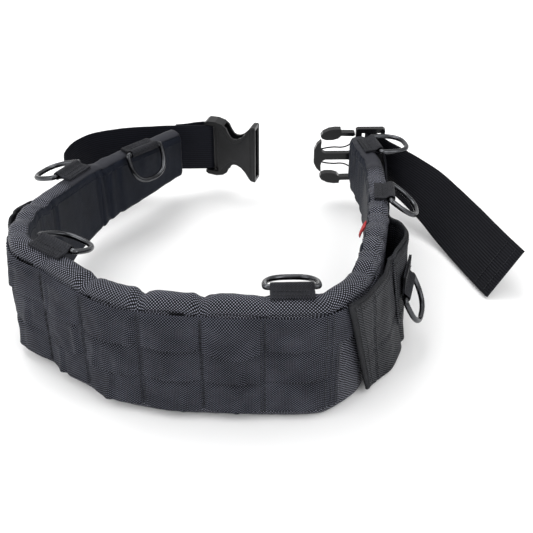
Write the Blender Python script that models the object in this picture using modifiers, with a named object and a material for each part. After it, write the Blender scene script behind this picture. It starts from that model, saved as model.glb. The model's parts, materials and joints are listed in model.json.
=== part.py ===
"""A padded work belt: a foam pad carried on 57 mm webbing, with rows of tool loops, two side sleeves,
seven D-rings and a side-release buckle. It stands open on its lower edge, the wearer's back towards -Y.

Metres, +Z up. The origin is the bottom centre of the belt's bounding box, on the surface it stands on.
Distances called "station" run along the pad's centreline, from its left end round the back to its right
end. Offsets run outwards from that centreline, away from the wearer.
"""
import math

import bpy
import bmesh
from mathutils import Matrix, Vector

# ---------------------------------------------------------------- driving dimensions
GAP = 0.0003                    # clearance between touching pieces
PLAN_ORIGIN = Vector((0.0065, 0.1910))   # middle of the belt's box in the plan used below

# The pad's centreline in plan, hand-laid from the left end to the right end.
PAD_PLAN = [(-0.104, 0.361), (-0.116, 0.348), (-0.134, 0.3265), (-0.160, 0.2985), (-0.179, 0.275),
            (-0.194, 0.249), (-0.207, 0.219), (-0.218, 0.188), (-0.225, 0.160), (-0.228, 0.134),
            (-0.227, 0.108), (-0.218, 0.088), (-0.191, 0.068), (-0.161, 0.042), (-0.137, 0.024),
            (-0.110, 0.014), (-0.075, 0.008), (-0.035, 0.005), (0.000, 0.004), (0.038, 0.005),
            (0.056, 0.012), (0.071, 0.026), (0.080, 0.041), (0.087, 0.058), (0.092, 0.076),
            (0.096, 0.095), (0.101, 0.122), (0.106, 0.152), (0.110, 0.190), (0.113, 0.230),
            (0.114, 0.262), (0.113, 0.285), (0.109, 0.308), (0.105, 0.328), (0.103, 0.347)]

# The pad's edges: station, height of the bottom edge, height of the top edge.
PAD_EDGES = [(0.000, 0.034, 0.091), (0.050, 0.030, 0.095), (0.100, 0.027, 0.098),
             (0.180, 0.018, 0.107), (0.220, 0.010, 0.116), (0.260, 0.003, 0.125), (0.290, 0.000, 0.129),
             (0.700, 0.000, 0.129), (0.740, 0.003, 0.123), (0.780, 0.012, 0.113),
             (0.860, 0.024, 0.101), (0.910, 0.028, 0.098), (0.963, 0.034, 0.091)]

FOAM_HALF = 0.0090              # half of the foam's thickness
FOAM_ROUND = 0.0062             # how far the foam's corners are cut back
COVER_THICKNESS = 0.0010
LINER_THICKNESS = 0.0008
PAD_FACE = FOAM_HALF + GAP + COVER_THICKNESS    # offset of the pad's outer face
PAD_PANELS = 12                 # foam panels between the sewn channels
PANEL_STEPS = 6                 # facets along each panel; every layer of the belt shares these stations
COVER_SEAM = 0.0035             # how far over the pad's edge the cover reaches to meet the liner

ROW_THICKNESS = 0.0014
ROW_HEIGHT = 0.0342
ROW_PITCH = 0.0350
ROW_TOP = 0.1165                # top edge of the upper row
ROW_START = 0.284               # station of the rows' left end
STITCH_PITCH = 0.0523           # spacing of the sewn columns that make the loops
ROW_BULGE = 0.0016              # how far a loop stands off between two sewn columns
LOWER_ROW_CELLS = 6
ROW_EDGE = 0.008                # webbing left outside the outer sewn columns
UPPER_ROW_END = 0.666           # the upper row runs on under the right sleeve

SLEEVE_THICKNESS = 0.0016
# Side sleeves: station, offsets of the lower and upper edges from the centreline, their heights.
RIGHT_SLEEVE = [(0.629, 0.0149, 0.0149, 0.100, 0.120), (0.642, 0.0150, 0.0149, 0.045, 0.119),
                (0.655, 0.0175, 0.0150, 0.004, 0.118), (0.668, 0.0230, 0.0155, 0.003, 0.117),
                (0.682, 0.0290, 0.0165, 0.003, 0.116), (0.695, 0.0335, 0.0180, 0.004, 0.115),
                (0.709, 0.0350, 0.0200, 0.006, 0.114), (0.722, 0.0345, 0.0245, 0.008, 0.113),
                (0.735, 0.0335, 0.0280, 0.010, 0.112), (0.749, 0.0315, 0.0285, 0.013, 0.110),
                (0.762, 0.0285, 0.0265, 0.016, 0.107), (0.775, 0.0215, 0.0215, 0.019, 0.104),
                (0.788, 0.0142, 0.0142, 0.022, 0.102)]
LEFT_SLEEVE = [(0.200, 0.0142, 0.0142, 0.022, 0.102), (0.214, 0.0160, 0.0150, 0.016, 0.106),
               (0.227, 0.0200, 0.0175, 0.011, 0.109), (0.241, 0.0215, 0.0185, 0.007, 0.112),
               (0.254, 0.0195, 0.0170, 0.005, 0.113), (0.267, 0.0140, 0.0130, 0.004, 0.113),
               (0.276, 0.0122, 0.0122, 0.004, 0.113)]

STRAP_WIDTH = 0.057
STRAP_THICKNESS = 0.0022
STRAP_HEIGHT = 0.060            # height of the belt webbing's middle
STRAP_SEWN = PAD_FACE + GAP + STRAP_THICKNESS / 2
BAR_LOOP = 0.0048               # radius of the webbing's middle round a buckle bar
BUCKLE_SLOT = STRAP_WIDTH / 2 + 0.0012          # half of the slots' length in both buckles

FEMALE_BAR = Vector((-0.066, 0.384))
FEMALE_HEADING = math.radians(-19)
MALE_BAR = Vector((0.117, 0.361))
MALE_HEADING = math.radians(181)

# Where the left strap hangs free between the left sleeve and the female buckle, in plan.
LEFT_STRAP_FREE = [(-0.2085, 0.262), (-0.2145, 0.282), (-0.2190, 0.302), (-0.2205, 0.318), (-0.2165, 0.336),
                   (-0.2045, 0.353), (-0.1880, 0.3640), (-0.164, 0.3715), (-0.136, 0.3760), (-0.110, 0.3782),
                   (-0.088, 0.3788)]
LEFT_STRAP_SEWN = (0.160, 0.215)                # stations between which it is sewn to the pad
LEFT_STRAP_RETURN = [(-0.080, 0.3865), (-0.092, 0.3828), (-0.104, 0.3808)]
RIGHT_STRAP_SEWN = (0.822, 0.872)
RIGHT_STRAP_FREE = [(0.1272, 0.275), (0.1285, 0.295), (0.1285, 0.316), (0.1250, 0.336)]

# The free tail: plan position and height of its middle, then how far it leans from upright in X and Y.
TAIL = [((0.1265, 0.3565, 0.0600), (0.00, 0.00)), ((0.1370, 0.3390, 0.0600), (0.00, 0.06)),
        ((0.1480, 0.3230, 0.0590), (0.05, 0.25)), ((0.1640, 0.3080, 0.0530), (0.20, 0.38)),
        ((0.1810, 0.2940, 0.0440), (0.42, 0.38)), ((0.1960, 0.2770, 0.0340), (0.60, 0.36)),
        ((0.2090, 0.2550, 0.0280), (0.70, 0.33)), ((0.2200, 0.2300, 0.0260), (0.73, 0.32)),
        ((0.2310, 0.2030, 0.0255), (0.73, 0.32)), ((0.2420, 0.1780, 0.0250), (0.74, 0.32))]
HEM_LENGTH = 0.026
HEM_THICKNESS = 0.0018

RING_WIRE = 0.0026              # radius of the D-rings' wire
RING_WIDTH = 0.0512
RING_CORNER = 0.0034            # bend between the bar and the bow
RING_DEPTH = 0.0355             # from the bar's centre to the outside of the bow
TAB_WIDTH = 0.0380
TAB_PLY = 0.0013                # thickness of the tab's webbing
BAR_OFFSET = 0.0128             # offset of a ring's bar from the centreline
BAR_RISE = 0.0020               # height of a ring's bar above the pad's top edge
SIDE_BAR_RISE = 0.0047          # stand-off of the side ring's bar from the sleeve
TAB_CLEARANCE = 0.0005          # gap under a tab
# D-rings: name, station, +1 when the ring hangs outside the pad or -1 inside, droop below horizontal.
RINGS = [("1", 0.147, 1, 18), ("2", 0.058, -1, 66), ("3", 0.342, -1, 24), ("4", 0.578, -1, 22),
         ("5", 0.933, 1, 4), ("6", 0.818, 1, 36)]
SIDE_RING_STATION = 0.728       # the seventh ring, on the outside of the right sleeve
SIDE_RING_HEIGHT = 0.062
SIDE_RING_DROOP = 64

COLORS = {"ballistic_nylon": (0.022, 0.023, 0.027), "liner_nylon": (0.045, 0.048, 0.058),
          "loop_webbing": (0.020, 0.020, 0.023), "belt_webbing": (0.014, 0.014, 0.017),
          "foam": (0.30, 0.30, 0.31), "ring_metal": (0.32, 0.33, 0.35),
          "buckle_plastic": (0.030, 0.031, 0.034), "red_label": (0.70, 0.02, 0.03)}
ROUGHNESS = {"ring_metal": 0.25, "buckle_plastic": 0.40}


# ---------------------------------------------------------------- scene and materials
def clear_scene():
    for obj in list(bpy.data.objects):
        bpy.data.objects.remove(obj, do_unlink=True)


def new_collection(name):
    collection = bpy.data.collections.new(name)
    bpy.context.scene.collection.children.link(collection)
    return collection


def material(slot, name):
    mat = bpy.data.materials.new(f"{name}_{slot}")
    mat.use_nodes = True
    shader = mat.node_tree.nodes["Principled BSDF"]
    shader.inputs["Base Color"].default_value = (*COLORS[slot], 1.0)
    shader.inputs["Roughness"].default_value = ROUGHNESS.get(slot, 0.85)
    shader.inputs["Metallic"].default_value = 1.0 if slot == "ring_metal" else 0.0
    return mat


def add_object(name, mesh, slot, collection):
    obj = bpy.data.objects.new(name, mesh)
    collection.objects.link(obj)
    mesh.materials.append(material(slot, name))
    return obj


# ---------------------------------------------------------------- smooth routes
def spline(points, steps):
    """Catmull-Rom curve through the points, with the given number of steps in each span."""
    pts = [Vector(p) for p in points]
    ends = [2 * pts[0] - pts[1]] + pts + [2 * pts[-1] - pts[-2]]
    curve = []
    for a, b, c, d in zip(ends, ends[1:], ends[2:], ends[3:]):
        for i in range(steps):
            t = i / steps
            curve.append(0.5 * (2 * b + (c - a) * t + (2 * a - 5 * b + 4 * c - d) * t ** 2
                                + (3 * b - a - 3 * c + d) * t ** 3))
    curve.append(pts[-1])
    return curve


def interpolate(table, station, column):
    """Value of one column of a table of stations, straight between its rows."""
    if station <= table[0][0]:
        return table[0][column]
    for low, high in zip(table, table[1:]):
        if station <= high[0]:
            t = (station - low[0]) / (high[0] - low[0])
            return low[column] + (high[column] - low[column]) * t
    return table[-1][column]


class Centreline:
    """The pad's centreline in plan, read by distance along it."""

    def __init__(self, plan):
        self.points = spline([Vector(p) - PLAN_ORIGIN for p in plan], 24)
        self.distances = [0.0]
        for a, b in zip(self.points, self.points[1:]):
            self.distances.append(self.distances[-1] + (b - a).length)
        self.length = self.distances[-1]

    def centre(self, station):
        station = min(max(station, 0.0), self.length)
        for i in range(1, len(self.points)):
            if station <= self.distances[i]:
                span = self.distances[i] - self.distances[i - 1]
                return self.points[i - 1].lerp(self.points[i], (station - self.distances[i - 1]) / span)
        return self.points[-1].copy()

    def tangent(self, station, reach=0.006):
        start = self.centre(station - reach)
        return (self.centre(station + reach) - start).normalized()

    def offset(self, station, distance):
        """Point in plan at a distance outwards from the centreline."""
        tangent = self.tangent(station)
        return self.centre(station) + Vector((tangent.y, -tangent.x)) * distance


def grid(line):
    """Stations of the facets that all the belt's layers share."""
    count = PAD_PANELS * PANEL_STEPS
    return [line.length * i / count for i in range(count + 1)]


def grid_between(line, start, end):
    """Shared stations from the one nearest the start to the one nearest the end."""
    step = line.length / (PAD_PANELS * PANEL_STEPS)
    return grid(line)[round(start / step):round(end / step) + 1]


def pad_bottom(station):
    return interpolate(PAD_EDGES, station, 1)


def pad_top(station):
    return interpolate(PAD_EDGES, station, 2)


# ---------------------------------------------------------------- mesh builders
def loft_mesh(name, rings, closed):
    """Mesh through rings of points: a capped tube when closed, otherwise an open sheet."""
    bm = bmesh.new()
    rows = [[bm.verts.new(point) for point in ring] for ring in rings]
    for a, b in zip(rows, rows[1:]):
        count = len(a) if closed else len(a) - 1
        for j in range(count):
            k = (j + 1) % len(a)
            bm.faces.new((a[j], b[j], b[k], a[k]))
    if closed:
        bm.faces.new(rows[0])
        bm.faces.new(list(reversed(rows[-1])))
        bmesh.ops.recalc_face_normals(bm, faces=bm.faces)
    mesh = bpy.data.meshes.new(name)
    bm.to_mesh(mesh)
    bm.free()
    return mesh


def add_sheet(name, rings, thickness, slot, collection):
    """A fabric sheet of even thickness round a middle surface."""
    obj = add_object(name, loft_mesh(name, rings, closed=False), slot, collection)
    solid = obj.modifiers.new("thickness", "SOLIDIFY")
    solid.thickness = thickness
    solid.offset = 0.0
    return obj


def add_strap(name, path, width, thickness, slot, collection):
    """Flat webbing standing on edge along a plan path; each point may carry a height and a lean."""
    rings = []
    for point, height, lean in path:
        up = Vector((lean[0], lean[1], 1.0)).normalized()
        middle = Vector((point[0], point[1], height))
        rings.append([middle - up * width / 2, middle + up * width / 2])
    return add_sheet(name, rings, thickness, slot, collection)


def outline_object(name, outlines, half_thickness):
    """Solid plate from flat outlines; outlines inside the first one are holes."""
    curve = bpy.data.curves.new(name, "CURVE")
    curve.dimensions = "2D"
    curve.fill_mode = "BOTH"
    curve.extrude = half_thickness
    curve.render_resolution_u = 0
    for outline in outlines:
        line = curve.splines.new("POLY")
        line.points.add(len(outline) - 1)
        for point, (x, y) in zip(line.points, outline):
            point.co = (x, y, 0.0, 1.0)
        line.use_cyclic_u = True
    return bpy.data.objects.new(name, curve)


def curve_to_mesh(obj, collection):
    """Replace a curve object by a mesh object with welded caps."""
    collection.objects.link(obj)
    bpy.context.view_layer.update()
    evaluated = obj.evaluated_get(bpy.context.evaluated_depsgraph_get())
    mesh = bpy.data.meshes.new_from_object(evaluated)
    bm = bmesh.new()
    bm.from_mesh(mesh)
    bmesh.ops.remove_doubles(bm, verts=bm.verts, dist=0.00001)
    bmesh.ops.recalc_face_normals(bm, faces=bm.faces)
    bm.to_mesh(mesh)
    bm.free()
    name = obj.name
    matrix = obj.matrix_world.copy()
    bpy.data.objects.remove(obj, do_unlink=True)
    return name, mesh, matrix


def add_plate(name, outlines, half_thickness, slot, collection):
    _, mesh, _ = curve_to_mesh(outline_object(name + "_outline", outlines, half_thickness), collection)
    mesh.name = name
    return add_object(name, mesh, slot, collection)


def add_cutter(name, low, high, parent, cutters):
    """Box cutter given by two corners in the frame of the piece it cuts."""
    mesh = bpy.data.meshes.new(name)
    bm = bmesh.new()
    bmesh.ops.create_cube(bm, size=1.0)
    size = Vector(high) - Vector(low)
    bmesh.ops.scale(bm, vec=size, verts=bm.verts)
    bmesh.ops.translate(bm, vec=(Vector(low) + Vector(high)) / 2, verts=bm.verts)
    bm.to_mesh(mesh)
    bm.free()
    cutter = bpy.data.objects.new(name, mesh)
    cutters.objects.link(cutter)
    cutter.matrix_world = parent.matrix_world
    cutter.hide_render = True
    cutter.display_type = "WIRE"
    cut = parent.modifiers.new(name, "BOOLEAN")
    cut.operation = "DIFFERENCE"
    cut.object = cutter
    return cutter


def plan_frame(origin, heading, height):
    """Frame with X along a heading in plan, Y up and Z level, to the right of the heading."""
    x_axis = Vector((math.cos(heading), math.sin(heading), 0.0))
    y_axis = Vector((0.0, 0.0, 1.0))
    frame = Matrix((x_axis, y_axis, x_axis.cross(y_axis))).transposed().to_4x4()
    frame.translation = Vector((origin.x, origin.y, height))
    return frame


# ---------------------------------------------------------------- the pad
def pad_section(line, station, half, inset):
    """Rounded rectangle across the pad, anticlockwise from the inner bottom corner."""
    low = pad_bottom(station) + inset
    high = pad_top(station) - inset
    r = FOAM_ROUND
    flat = [(-half + r, low), (half - r, low), (half - 0.3 * r, low + 0.3 * r), (half, low + r), (half, high - r),
            (half - 0.3 * r, high - 0.3 * r), (half - r, high), (-half + r, high),
            (-half + 0.3 * r, high - 0.3 * r), (-half, high - r), (-half, low + r),
            (-half + 0.3 * r, low + 0.3 * r)]
    return [(*line.offset(station, offset), z) for offset, z in flat]


def build_foam(line, belt):
    shared = grid(line)
    for i in range(PAD_PANELS):
        span = shared[i * PANEL_STEPS:(i + 1) * PANEL_STEPS + 1]
        span[0] += GAP
        span[-1] -= GAP
        rings = [pad_section(line, s, FOAM_HALF, COVER_THICKNESS + GAP) for s in span]
        name = f"foam_panel_{i + 1:02d}"
        add_object(name, loft_mesh(name, rings, closed=True), "foam", belt)


def build_cover(line, belt):
    """Outer cover: from the inner top seam over the pad, down its outside and under to the inner bottom seam."""
    rings = []
    middle = FOAM_HALF + GAP + COVER_THICKNESS / 2
    r = FOAM_ROUND
    for s in grid(line):
        low = pad_bottom(s) + COVER_THICKNESS / 2
        high = pad_top(s) - COVER_THICKNESS / 2
        flat = [(-COVER_SEAM, high), (middle - r, high), (middle - 0.3 * r, high - 0.3 * r), (middle, high - r),
                (middle, low + r), (middle - 0.3 * r, low + 0.3 * r), (middle - r, low), (-COVER_SEAM, low)]
        rings.append([(*line.offset(s, offset), z) for offset, z in flat])
    add_sheet("outer_cover", rings, COVER_THICKNESS, "ballistic_nylon", belt)


def build_liner(line, belt):
    """Inner liner: the wearer's side of the pad, up to the cover at both seams."""
    rings = []
    middle = -(FOAM_HALF + GAP + LINER_THICKNESS / 2)
    r = FOAM_ROUND
    seam = -COVER_SEAM - 2 * GAP
    for s in grid(line):
        low = pad_bottom(s) + COVER_THICKNESS / 2
        high = pad_top(s) - COVER_THICKNESS / 2
        flat = [(seam, high), (middle + 0.3 * r, high - 0.3 * r), (middle, high - r), (middle, low + r),
                (middle + 0.3 * r, low + 0.3 * r), (seam, low)]
        rings.append([(*line.offset(s, offset), z) for offset, z in flat])
    add_sheet("inner_liner", rings, LINER_THICKNESS, "liner_nylon", belt)


# ---------------------------------------------------------------- tool loops and sleeves
def row_offset(station):
    """Offset of a loop row: sewn down at each stitched column and standing off between them."""
    sewn = PAD_FACE + GAP + ROW_THICKNESS / 2
    phase = (station - ROW_START - ROW_EDGE) / STITCH_PITCH
    if phase < 0 or phase > LOWER_ROW_CELLS:
        return sewn
    return sewn + ROW_BULGE * abs(math.sin(math.pi * phase))


def build_rows(line, belt):
    lower_end = ROW_START + 2 * ROW_EDGE + LOWER_ROW_CELLS * STITCH_PITCH
    ends = [("tool_loop_row_upper", UPPER_ROW_END), ("tool_loop_row_middle", lower_end),
            ("tool_loop_row_lower", lower_end)]
    for index, (name, end) in enumerate(ends):
        high = ROW_TOP - index * ROW_PITCH
        rings = []
        for s in grid_between(line, ROW_START, end):
            x, y = line.offset(s, row_offset(s))
            rings.append([(x, y, high - ROW_HEIGHT), (x, y, high)])
        add_sheet(name, rings, ROW_THICKNESS, "loop_webbing", belt)


def sleeve_offset(table, station, height):
    """Offset of a sleeve's middle surface from the centreline at a station and height."""
    low, high = interpolate(table, station, 3), interpolate(table, station, 4)
    share = min(max((height - low) / (high - low), 0.0), 1.0)
    lower, upper = interpolate(table, station, 1), interpolate(table, station, 2)
    return lower + (upper - lower) * share


def build_sleeve(name, table, line, belt):
    rings = []
    for s in grid_between(line, table[0][0], table[-1][0]):
        low, high = interpolate(table, s, 3), interpolate(table, s, 4)
        lower = line.offset(s, sleeve_offset(table, s, low))
        upper = line.offset(s, sleeve_offset(table, s, high))
        rings.append([(lower.x, lower.y, low), (upper.x, upper.y, high)])
    add_sheet(name, rings, SLEEVE_THICKNESS, "ballistic_nylon", belt)


def build_label(line, belt):
    """Plain red tab caught in the seam inside the right arm, standing in towards the wearer."""
    station, length, reach, thickness = 0.752, 0.013, 0.008, 0.0008
    inner = FOAM_HALF + LINER_THICKNESS + 4 * GAP
    height = pad_top(station) - 0.010
    rings = []
    for s in (station - length / 2, station, station + length / 2):
        rings.append([(*line.offset(s, -inner), height), (*line.offset(s, -inner - reach), height)])
    add_sheet("label_tab", rings, thickness, "red_label", belt)


# ---------------------------------------------------------------- belt webbing
def bar_loop(bar, heading, radius, start, end, count):
    """Points round a buckle bar, by angles measured from the buckle's heading."""
    points = []
    for i in range(count + 1):
        angle = heading + start + (end - start) * i / count
        points.append(Vector((bar.x + radius * math.cos(angle), bar.y + radius * math.sin(angle))))
    return points


def upright(points):
    return [(point, STRAP_HEIGHT, (0.0, 0.0)) for point in points]


def build_left_strap(line, belt):
    """Sewn to the pad under the left sleeve, free behind the pad, then round the female buckle's bar."""
    bar = FEMALE_BAR - PLAN_ORIGIN
    sewn = [line.offset(s, STRAP_SEWN) for s in reversed(grid_between(line, *LEFT_STRAP_SEWN))]
    free = [Vector(p) - PLAN_ORIGIN for p in LEFT_STRAP_FREE]
    loop = bar_loop(bar, FEMALE_HEADING, BAR_LOOP, math.radians(-80), math.radians(100), 8)
    back = [Vector(p) - PLAN_ORIGIN for p in LEFT_STRAP_RETURN]
    route = sewn[:-1] + spline([sewn[-1]] + free, 3) + loop + spline([loop[-1]] + back, 3)[1:]
    add_strap("belt_webbing_left", upright(route), STRAP_WIDTH, STRAP_THICKNESS, "belt_webbing", belt)


def build_right_strap(line, belt):
    """Sewn to the pad's right arm, then round the inner half of the male buckle's bar."""
    bar = MALE_BAR - PLAN_ORIGIN
    sewn = [line.offset(s, STRAP_SEWN) for s in grid_between(line, *RIGHT_STRAP_SEWN)]
    free = [Vector(p) - PLAN_ORIGIN for p in RIGHT_STRAP_FREE]
    loop = bar_loop(bar, 0.0, BAR_LOOP, math.radians(216), math.radians(131), 5)
    route = sewn[:-1] + spline([sewn[-1]] + free + [loop[0]], 3) + loop[1:]
    add_strap("belt_webbing_right", upright(route), STRAP_WIDTH, STRAP_THICKNESS, "belt_webbing", belt)


def build_tail(belt):
    """The adjusting end: round the outer half of the male buckle's bar, then hanging free."""
    bar = MALE_BAR - PLAN_ORIGIN
    loop = bar_loop(bar, 0.0, BAR_LOOP, math.radians(121), math.radians(40), 5)
    free = [Vector((*(Vector(p[:2]) - PLAN_ORIGIN), p[2], *lean)) for p, lean in TAIL]
    curve = spline([Vector((p.x, p.y, STRAP_HEIGHT, 0.0, 0.0)) for p in loop[-1:]] + free, 3)
    path = upright(loop[:-1]) + [((p[0], p[1]), p[2], (p[3], p[4])) for p in curve]
    add_strap("strap_tail", path, STRAP_WIDTH, STRAP_THICKNESS, "belt_webbing", belt)
    end = [(Vector(p[:3]), Vector((p[3], p[4], 1.0)).normalized()) for p in curve[-6:]]
    length = 0.0
    plate = []
    along = (end[-1][0] - end[-2][0]).normalized()
    for middle, up in reversed(end):
        if plate:
            length += (middle - plate[-1][2]).length
        if length > HEM_LENGTH:
            break
        side = along.cross(up).normalized()
        lift = middle - side * (STRAP_THICKNESS / 2 + GAP + HEM_THICKNESS / 2)
        plate.append((lift - up * STRAP_WIDTH * 0.49, lift + up * STRAP_WIDTH * 0.49, middle))
    add_sheet("tail_hem", [row[:2] for row in plate], HEM_THICKNESS, "belt_webbing", belt)


# ---------------------------------------------------------------- D-rings and their tabs
def ring_outline():
    """Middle line of a D-ring: a straight bar on the origin and a flattened bow out along +Y."""
    half = RING_WIDTH / 2 - RING_WIRE
    depth = RING_DEPTH - RING_WIRE
    corner = RING_CORNER
    points = [(-half + corner, 0.0), (half - corner, 0.0), (half - 0.3 * corner, 0.3 * corner), (half, corner)]
    bow = [(half * 1.00, depth * 0.38), (half * 0.93, depth * 0.62), (half * 0.74, depth * 0.84),
           (half * 0.42, depth * 0.97)]
    points += bow + [(0.0, depth)] + [(-x, y) for x, y in reversed(bow)]
    return points + [(-half, corner), (-half + 0.3 * corner, 0.3 * corner)]


def add_ring(name, frame, droop, belt):
    curve = bpy.data.curves.new(name, "CURVE")
    curve.dimensions = "3D"
    curve.bevel_depth = RING_WIRE
    curve.bevel_resolution = 2
    curve.use_fill_caps = True
    curve.render_resolution_u = 0
    outline = ring_outline()
    line = curve.splines.new("POLY")
    line.points.add(len(outline) - 1)
    for point, (x, y) in zip(line.points, outline):
        point.co = (x, y, 0.0, 1.0)
    line.use_cyclic_u = True
    curve.materials.append(material("ring_metal", name))
    ring = bpy.data.objects.new(name, curve)
    belt.objects.link(ring)
    ring.matrix_world = frame @ Matrix.Rotation(-droop, 4, "X")
    return ring


def tab_outlines(reach, rise, wrap):
    """Section of a tab: webbing rolled round the bar at the origin, its two plies sewn flat behind."""
    outer = RING_WIRE + GAP + TAB_PLY
    inner = (RING_WIRE + GAP) / math.cos(math.pi / 12)
    floor = -rise + TAB_CLEARANCE
    start = math.radians(125)
    turns = [start + (math.radians(-wrap) - start) * i / 10 for i in range(11)]
    roll = [(outer * math.cos(a), outer * math.sin(a)) for a in turns]
    tail = [(-0.0075, floor), (-reach, floor), (-reach, floor + 2 * TAB_PLY), (-0.0078, floor + 2.3 * TAB_PLY)]
    hole = [(inner * math.cos(a), inner * math.sin(a)) for a in
            [2 * math.pi * (i + 0.5) / 12 for i in range(12)]]
    return [roll + tail, hole]


def ring_frame(line, station, side):
    """Frame of a ring's bar: X along the pad's edge, Y level and away from the pad, Z up."""
    reach = 0.015
    a = line.centre(station - reach)
    b = line.centre(station + reach)
    along = Vector((b.x - a.x, b.y - a.y, pad_top(station + reach) - pad_top(station - reach))).normalized()
    away = Vector((along.y, -along.x, 0.0)).normalized() * side
    x_axis = along * -side
    z_axis = x_axis.cross(away)
    frame = Matrix((x_axis, away, z_axis)).transposed().to_4x4()
    plan = line.offset(station, BAR_OFFSET * side)
    frame.translation = Vector((plan.x, plan.y, pad_top(station) + BAR_RISE))
    return frame


def side_ring_frame(line):
    """Frame of the seventh ring's bar, level along the outside of the right sleeve."""
    reach = 0.020
    near = [SIDE_RING_STATION + reach * (i / 4 - 1) for i in range(9)]
    foot = SIDE_RING_HEIGHT - RING_WIRE - TAB_PLY
    face = [line.offset(s, sleeve_offset(RIGHT_SLEEVE, s, foot) + SLEEVE_THICKNESS / 2) for s in near]
    tangent = (face[-1] - face[0]).normalized()
    away = Vector((tangent.y, -tangent.x))
    middle = face[4]
    proud = max((point - middle).dot(away) for point in face)
    plan = middle + away * (proud + GAP + SIDE_BAR_RISE)
    along = Vector((-tangent.x, -tangent.y, 0.0))
    outward = Vector((away.x, away.y, 0.0))
    frame = Matrix((along, outward, along.cross(outward))).transposed().to_4x4()
    frame.translation = Vector((plan.x, plan.y, SIDE_RING_HEIGHT))
    return frame


def add_tab(name, frame, outlines, belt):
    tab = add_plate(name, outlines, TAB_WIDTH / 2, "loop_webbing", belt)
    section_to_frame = Matrix(((0, 0, 1), (1, 0, 0), (0, 1, 0))).to_4x4()
    tab.matrix_world = frame @ section_to_frame
    return tab


def build_rings(line, belt):
    for name, station, side, droop in RINGS:
        frame = ring_frame(line, station, side)
        add_tab(f"ring_tab_{name}", frame, tab_outlines(0.0185, BAR_RISE, 150), belt)
        add_ring(f"d_ring_{name}", frame, math.radians(droop), belt)
    frame = side_ring_frame(line)
    upright_tab = frame @ Matrix.Rotation(math.radians(-90), 4, "X")
    add_tab("ring_tab_7", upright_tab, tab_outlines(0.024, SIDE_BAR_RISE, 90), belt)
    add_ring("d_ring_7", frame, math.radians(SIDE_RING_DROOP), belt)


# ---------------------------------------------------------------- buckles
def mirrored(half_outline):
    """Closed outline from its upper half, given from one end of the axis to the other."""
    return half_outline + [(x, -y) for x, y in reversed(half_outline)]


def rectangle(x0, x1, half_height):
    return [(x0, -half_height), (x1, -half_height), (x1, half_height), (x0, half_height)]


def build_female_buckle(belt, cutters):
    """Socket half: a bar for the webbing, a waisted shell with open sides and a wide mouth."""
    outer = mirrored([(-0.0028, 0.0325), (0.000, 0.0345), (0.010, 0.0350), (0.018, 0.0330), (0.023, 0.0290),
                      (0.026, 0.0225), (0.029, 0.0180), (0.032, 0.0165), (0.036, 0.0168), (0.041, 0.0195),
                      (0.046, 0.0250), (0.050, 0.0315), (0.053, 0.0350), (0.058, 0.0355)])
    slot = rectangle(0.0021, 0.0095, BUCKLE_SLOT)
    half = 0.0070
    buckle = add_plate("buckle_female", [outer, slot], half, "buckle_plastic", belt)
    buckle.matrix_world = plan_frame(FEMALE_BAR - PLAN_ORIGIN, FEMALE_HEADING, STRAP_HEIGHT)
    bar_half = 0.0022
    add_cutter("female_mouth_cutter", (0.0150, -0.0312, -0.0046), (0.0620, 0.0312, 0.0046), buckle, cutters)
    for sign in (-1, 1):
        low, high = sorted((sign * bar_half, sign * 0.012))
        add_cutter(f"female_bar_cutter_{sign}", (-0.0060, -BUCKLE_SLOT, low), (0.0125, BUCKLE_SLOT, high),
                   buckle, cutters)


def build_male_buckle(belt, cutters):
    """Plug half: ladder-lock frame, stem and anchor head; its two arms are pieces of their own."""
    head = [(0.0560, 0.0195), (0.0600, 0.0150), (0.0630, 0.0080), (0.0640, 0.0)]
    outer = mirrored([(-0.0165, 0.0335), (-0.0140, 0.0350), (0.0140, 0.0350), (0.0165, 0.0335), (0.0165, 0.0090),
                      (0.0190, 0.0050), (0.0240, 0.0042), (0.0500, 0.0042), (0.0540, 0.0065), (0.0550, 0.0120),
                      (0.0545, 0.0190)] + head[:-1])
    slots = [rectangle(-0.0120, -0.0022, BUCKLE_SLOT), rectangle(0.0022, 0.0095, BUCKLE_SLOT)]
    buckle = add_plate("buckle_male", [outer] + slots, 0.0030, "buckle_plastic", belt)
    buckle.matrix_world = plan_frame(MALE_BAR - PLAN_ORIGIN, MALE_HEADING, STRAP_HEIGHT)
    for sign in (-1, 1):
        low, high = sorted((sign * 0.0019, sign * 0.006))
        add_cutter(f"male_bar_cutter_{sign}", (-0.0040, -BUCKLE_SLOT, low), (0.0040, BUCKLE_SLOT, high),
                   buckle, cutters)
    for name, side in (("upper", 1), ("lower", -1)):
        root = (0.0194, 0.0285)
        cap = [(root[0] + 0.0022 * math.cos(a), root[1] + 0.0022 * math.sin(a)) for a in
               [math.radians(90 + 30 * i) for i in range(7)]]
        arm = cap + [(0.0330, 0.0268), (0.0360, 0.0235), (0.0420, 0.0215), (0.0500, 0.0215), (0.0545, 0.0235),
                     (0.0560, 0.0265), (0.0535, 0.0305), (0.0470, 0.0340), (0.0400, 0.0352), (0.0335, 0.0350),
                     (0.0325, 0.0310)]
        local = [(x - root[0], (y - root[1]) * side) for x, y in arm]
        piece = add_plate(f"buckle_arm_{name}", [local], 0.0036, "buckle_plastic", belt)
        offset = Matrix.Translation((root[0], root[1] * side, 0.0))
        piece.matrix_world = buckle.matrix_world @ offset


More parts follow.
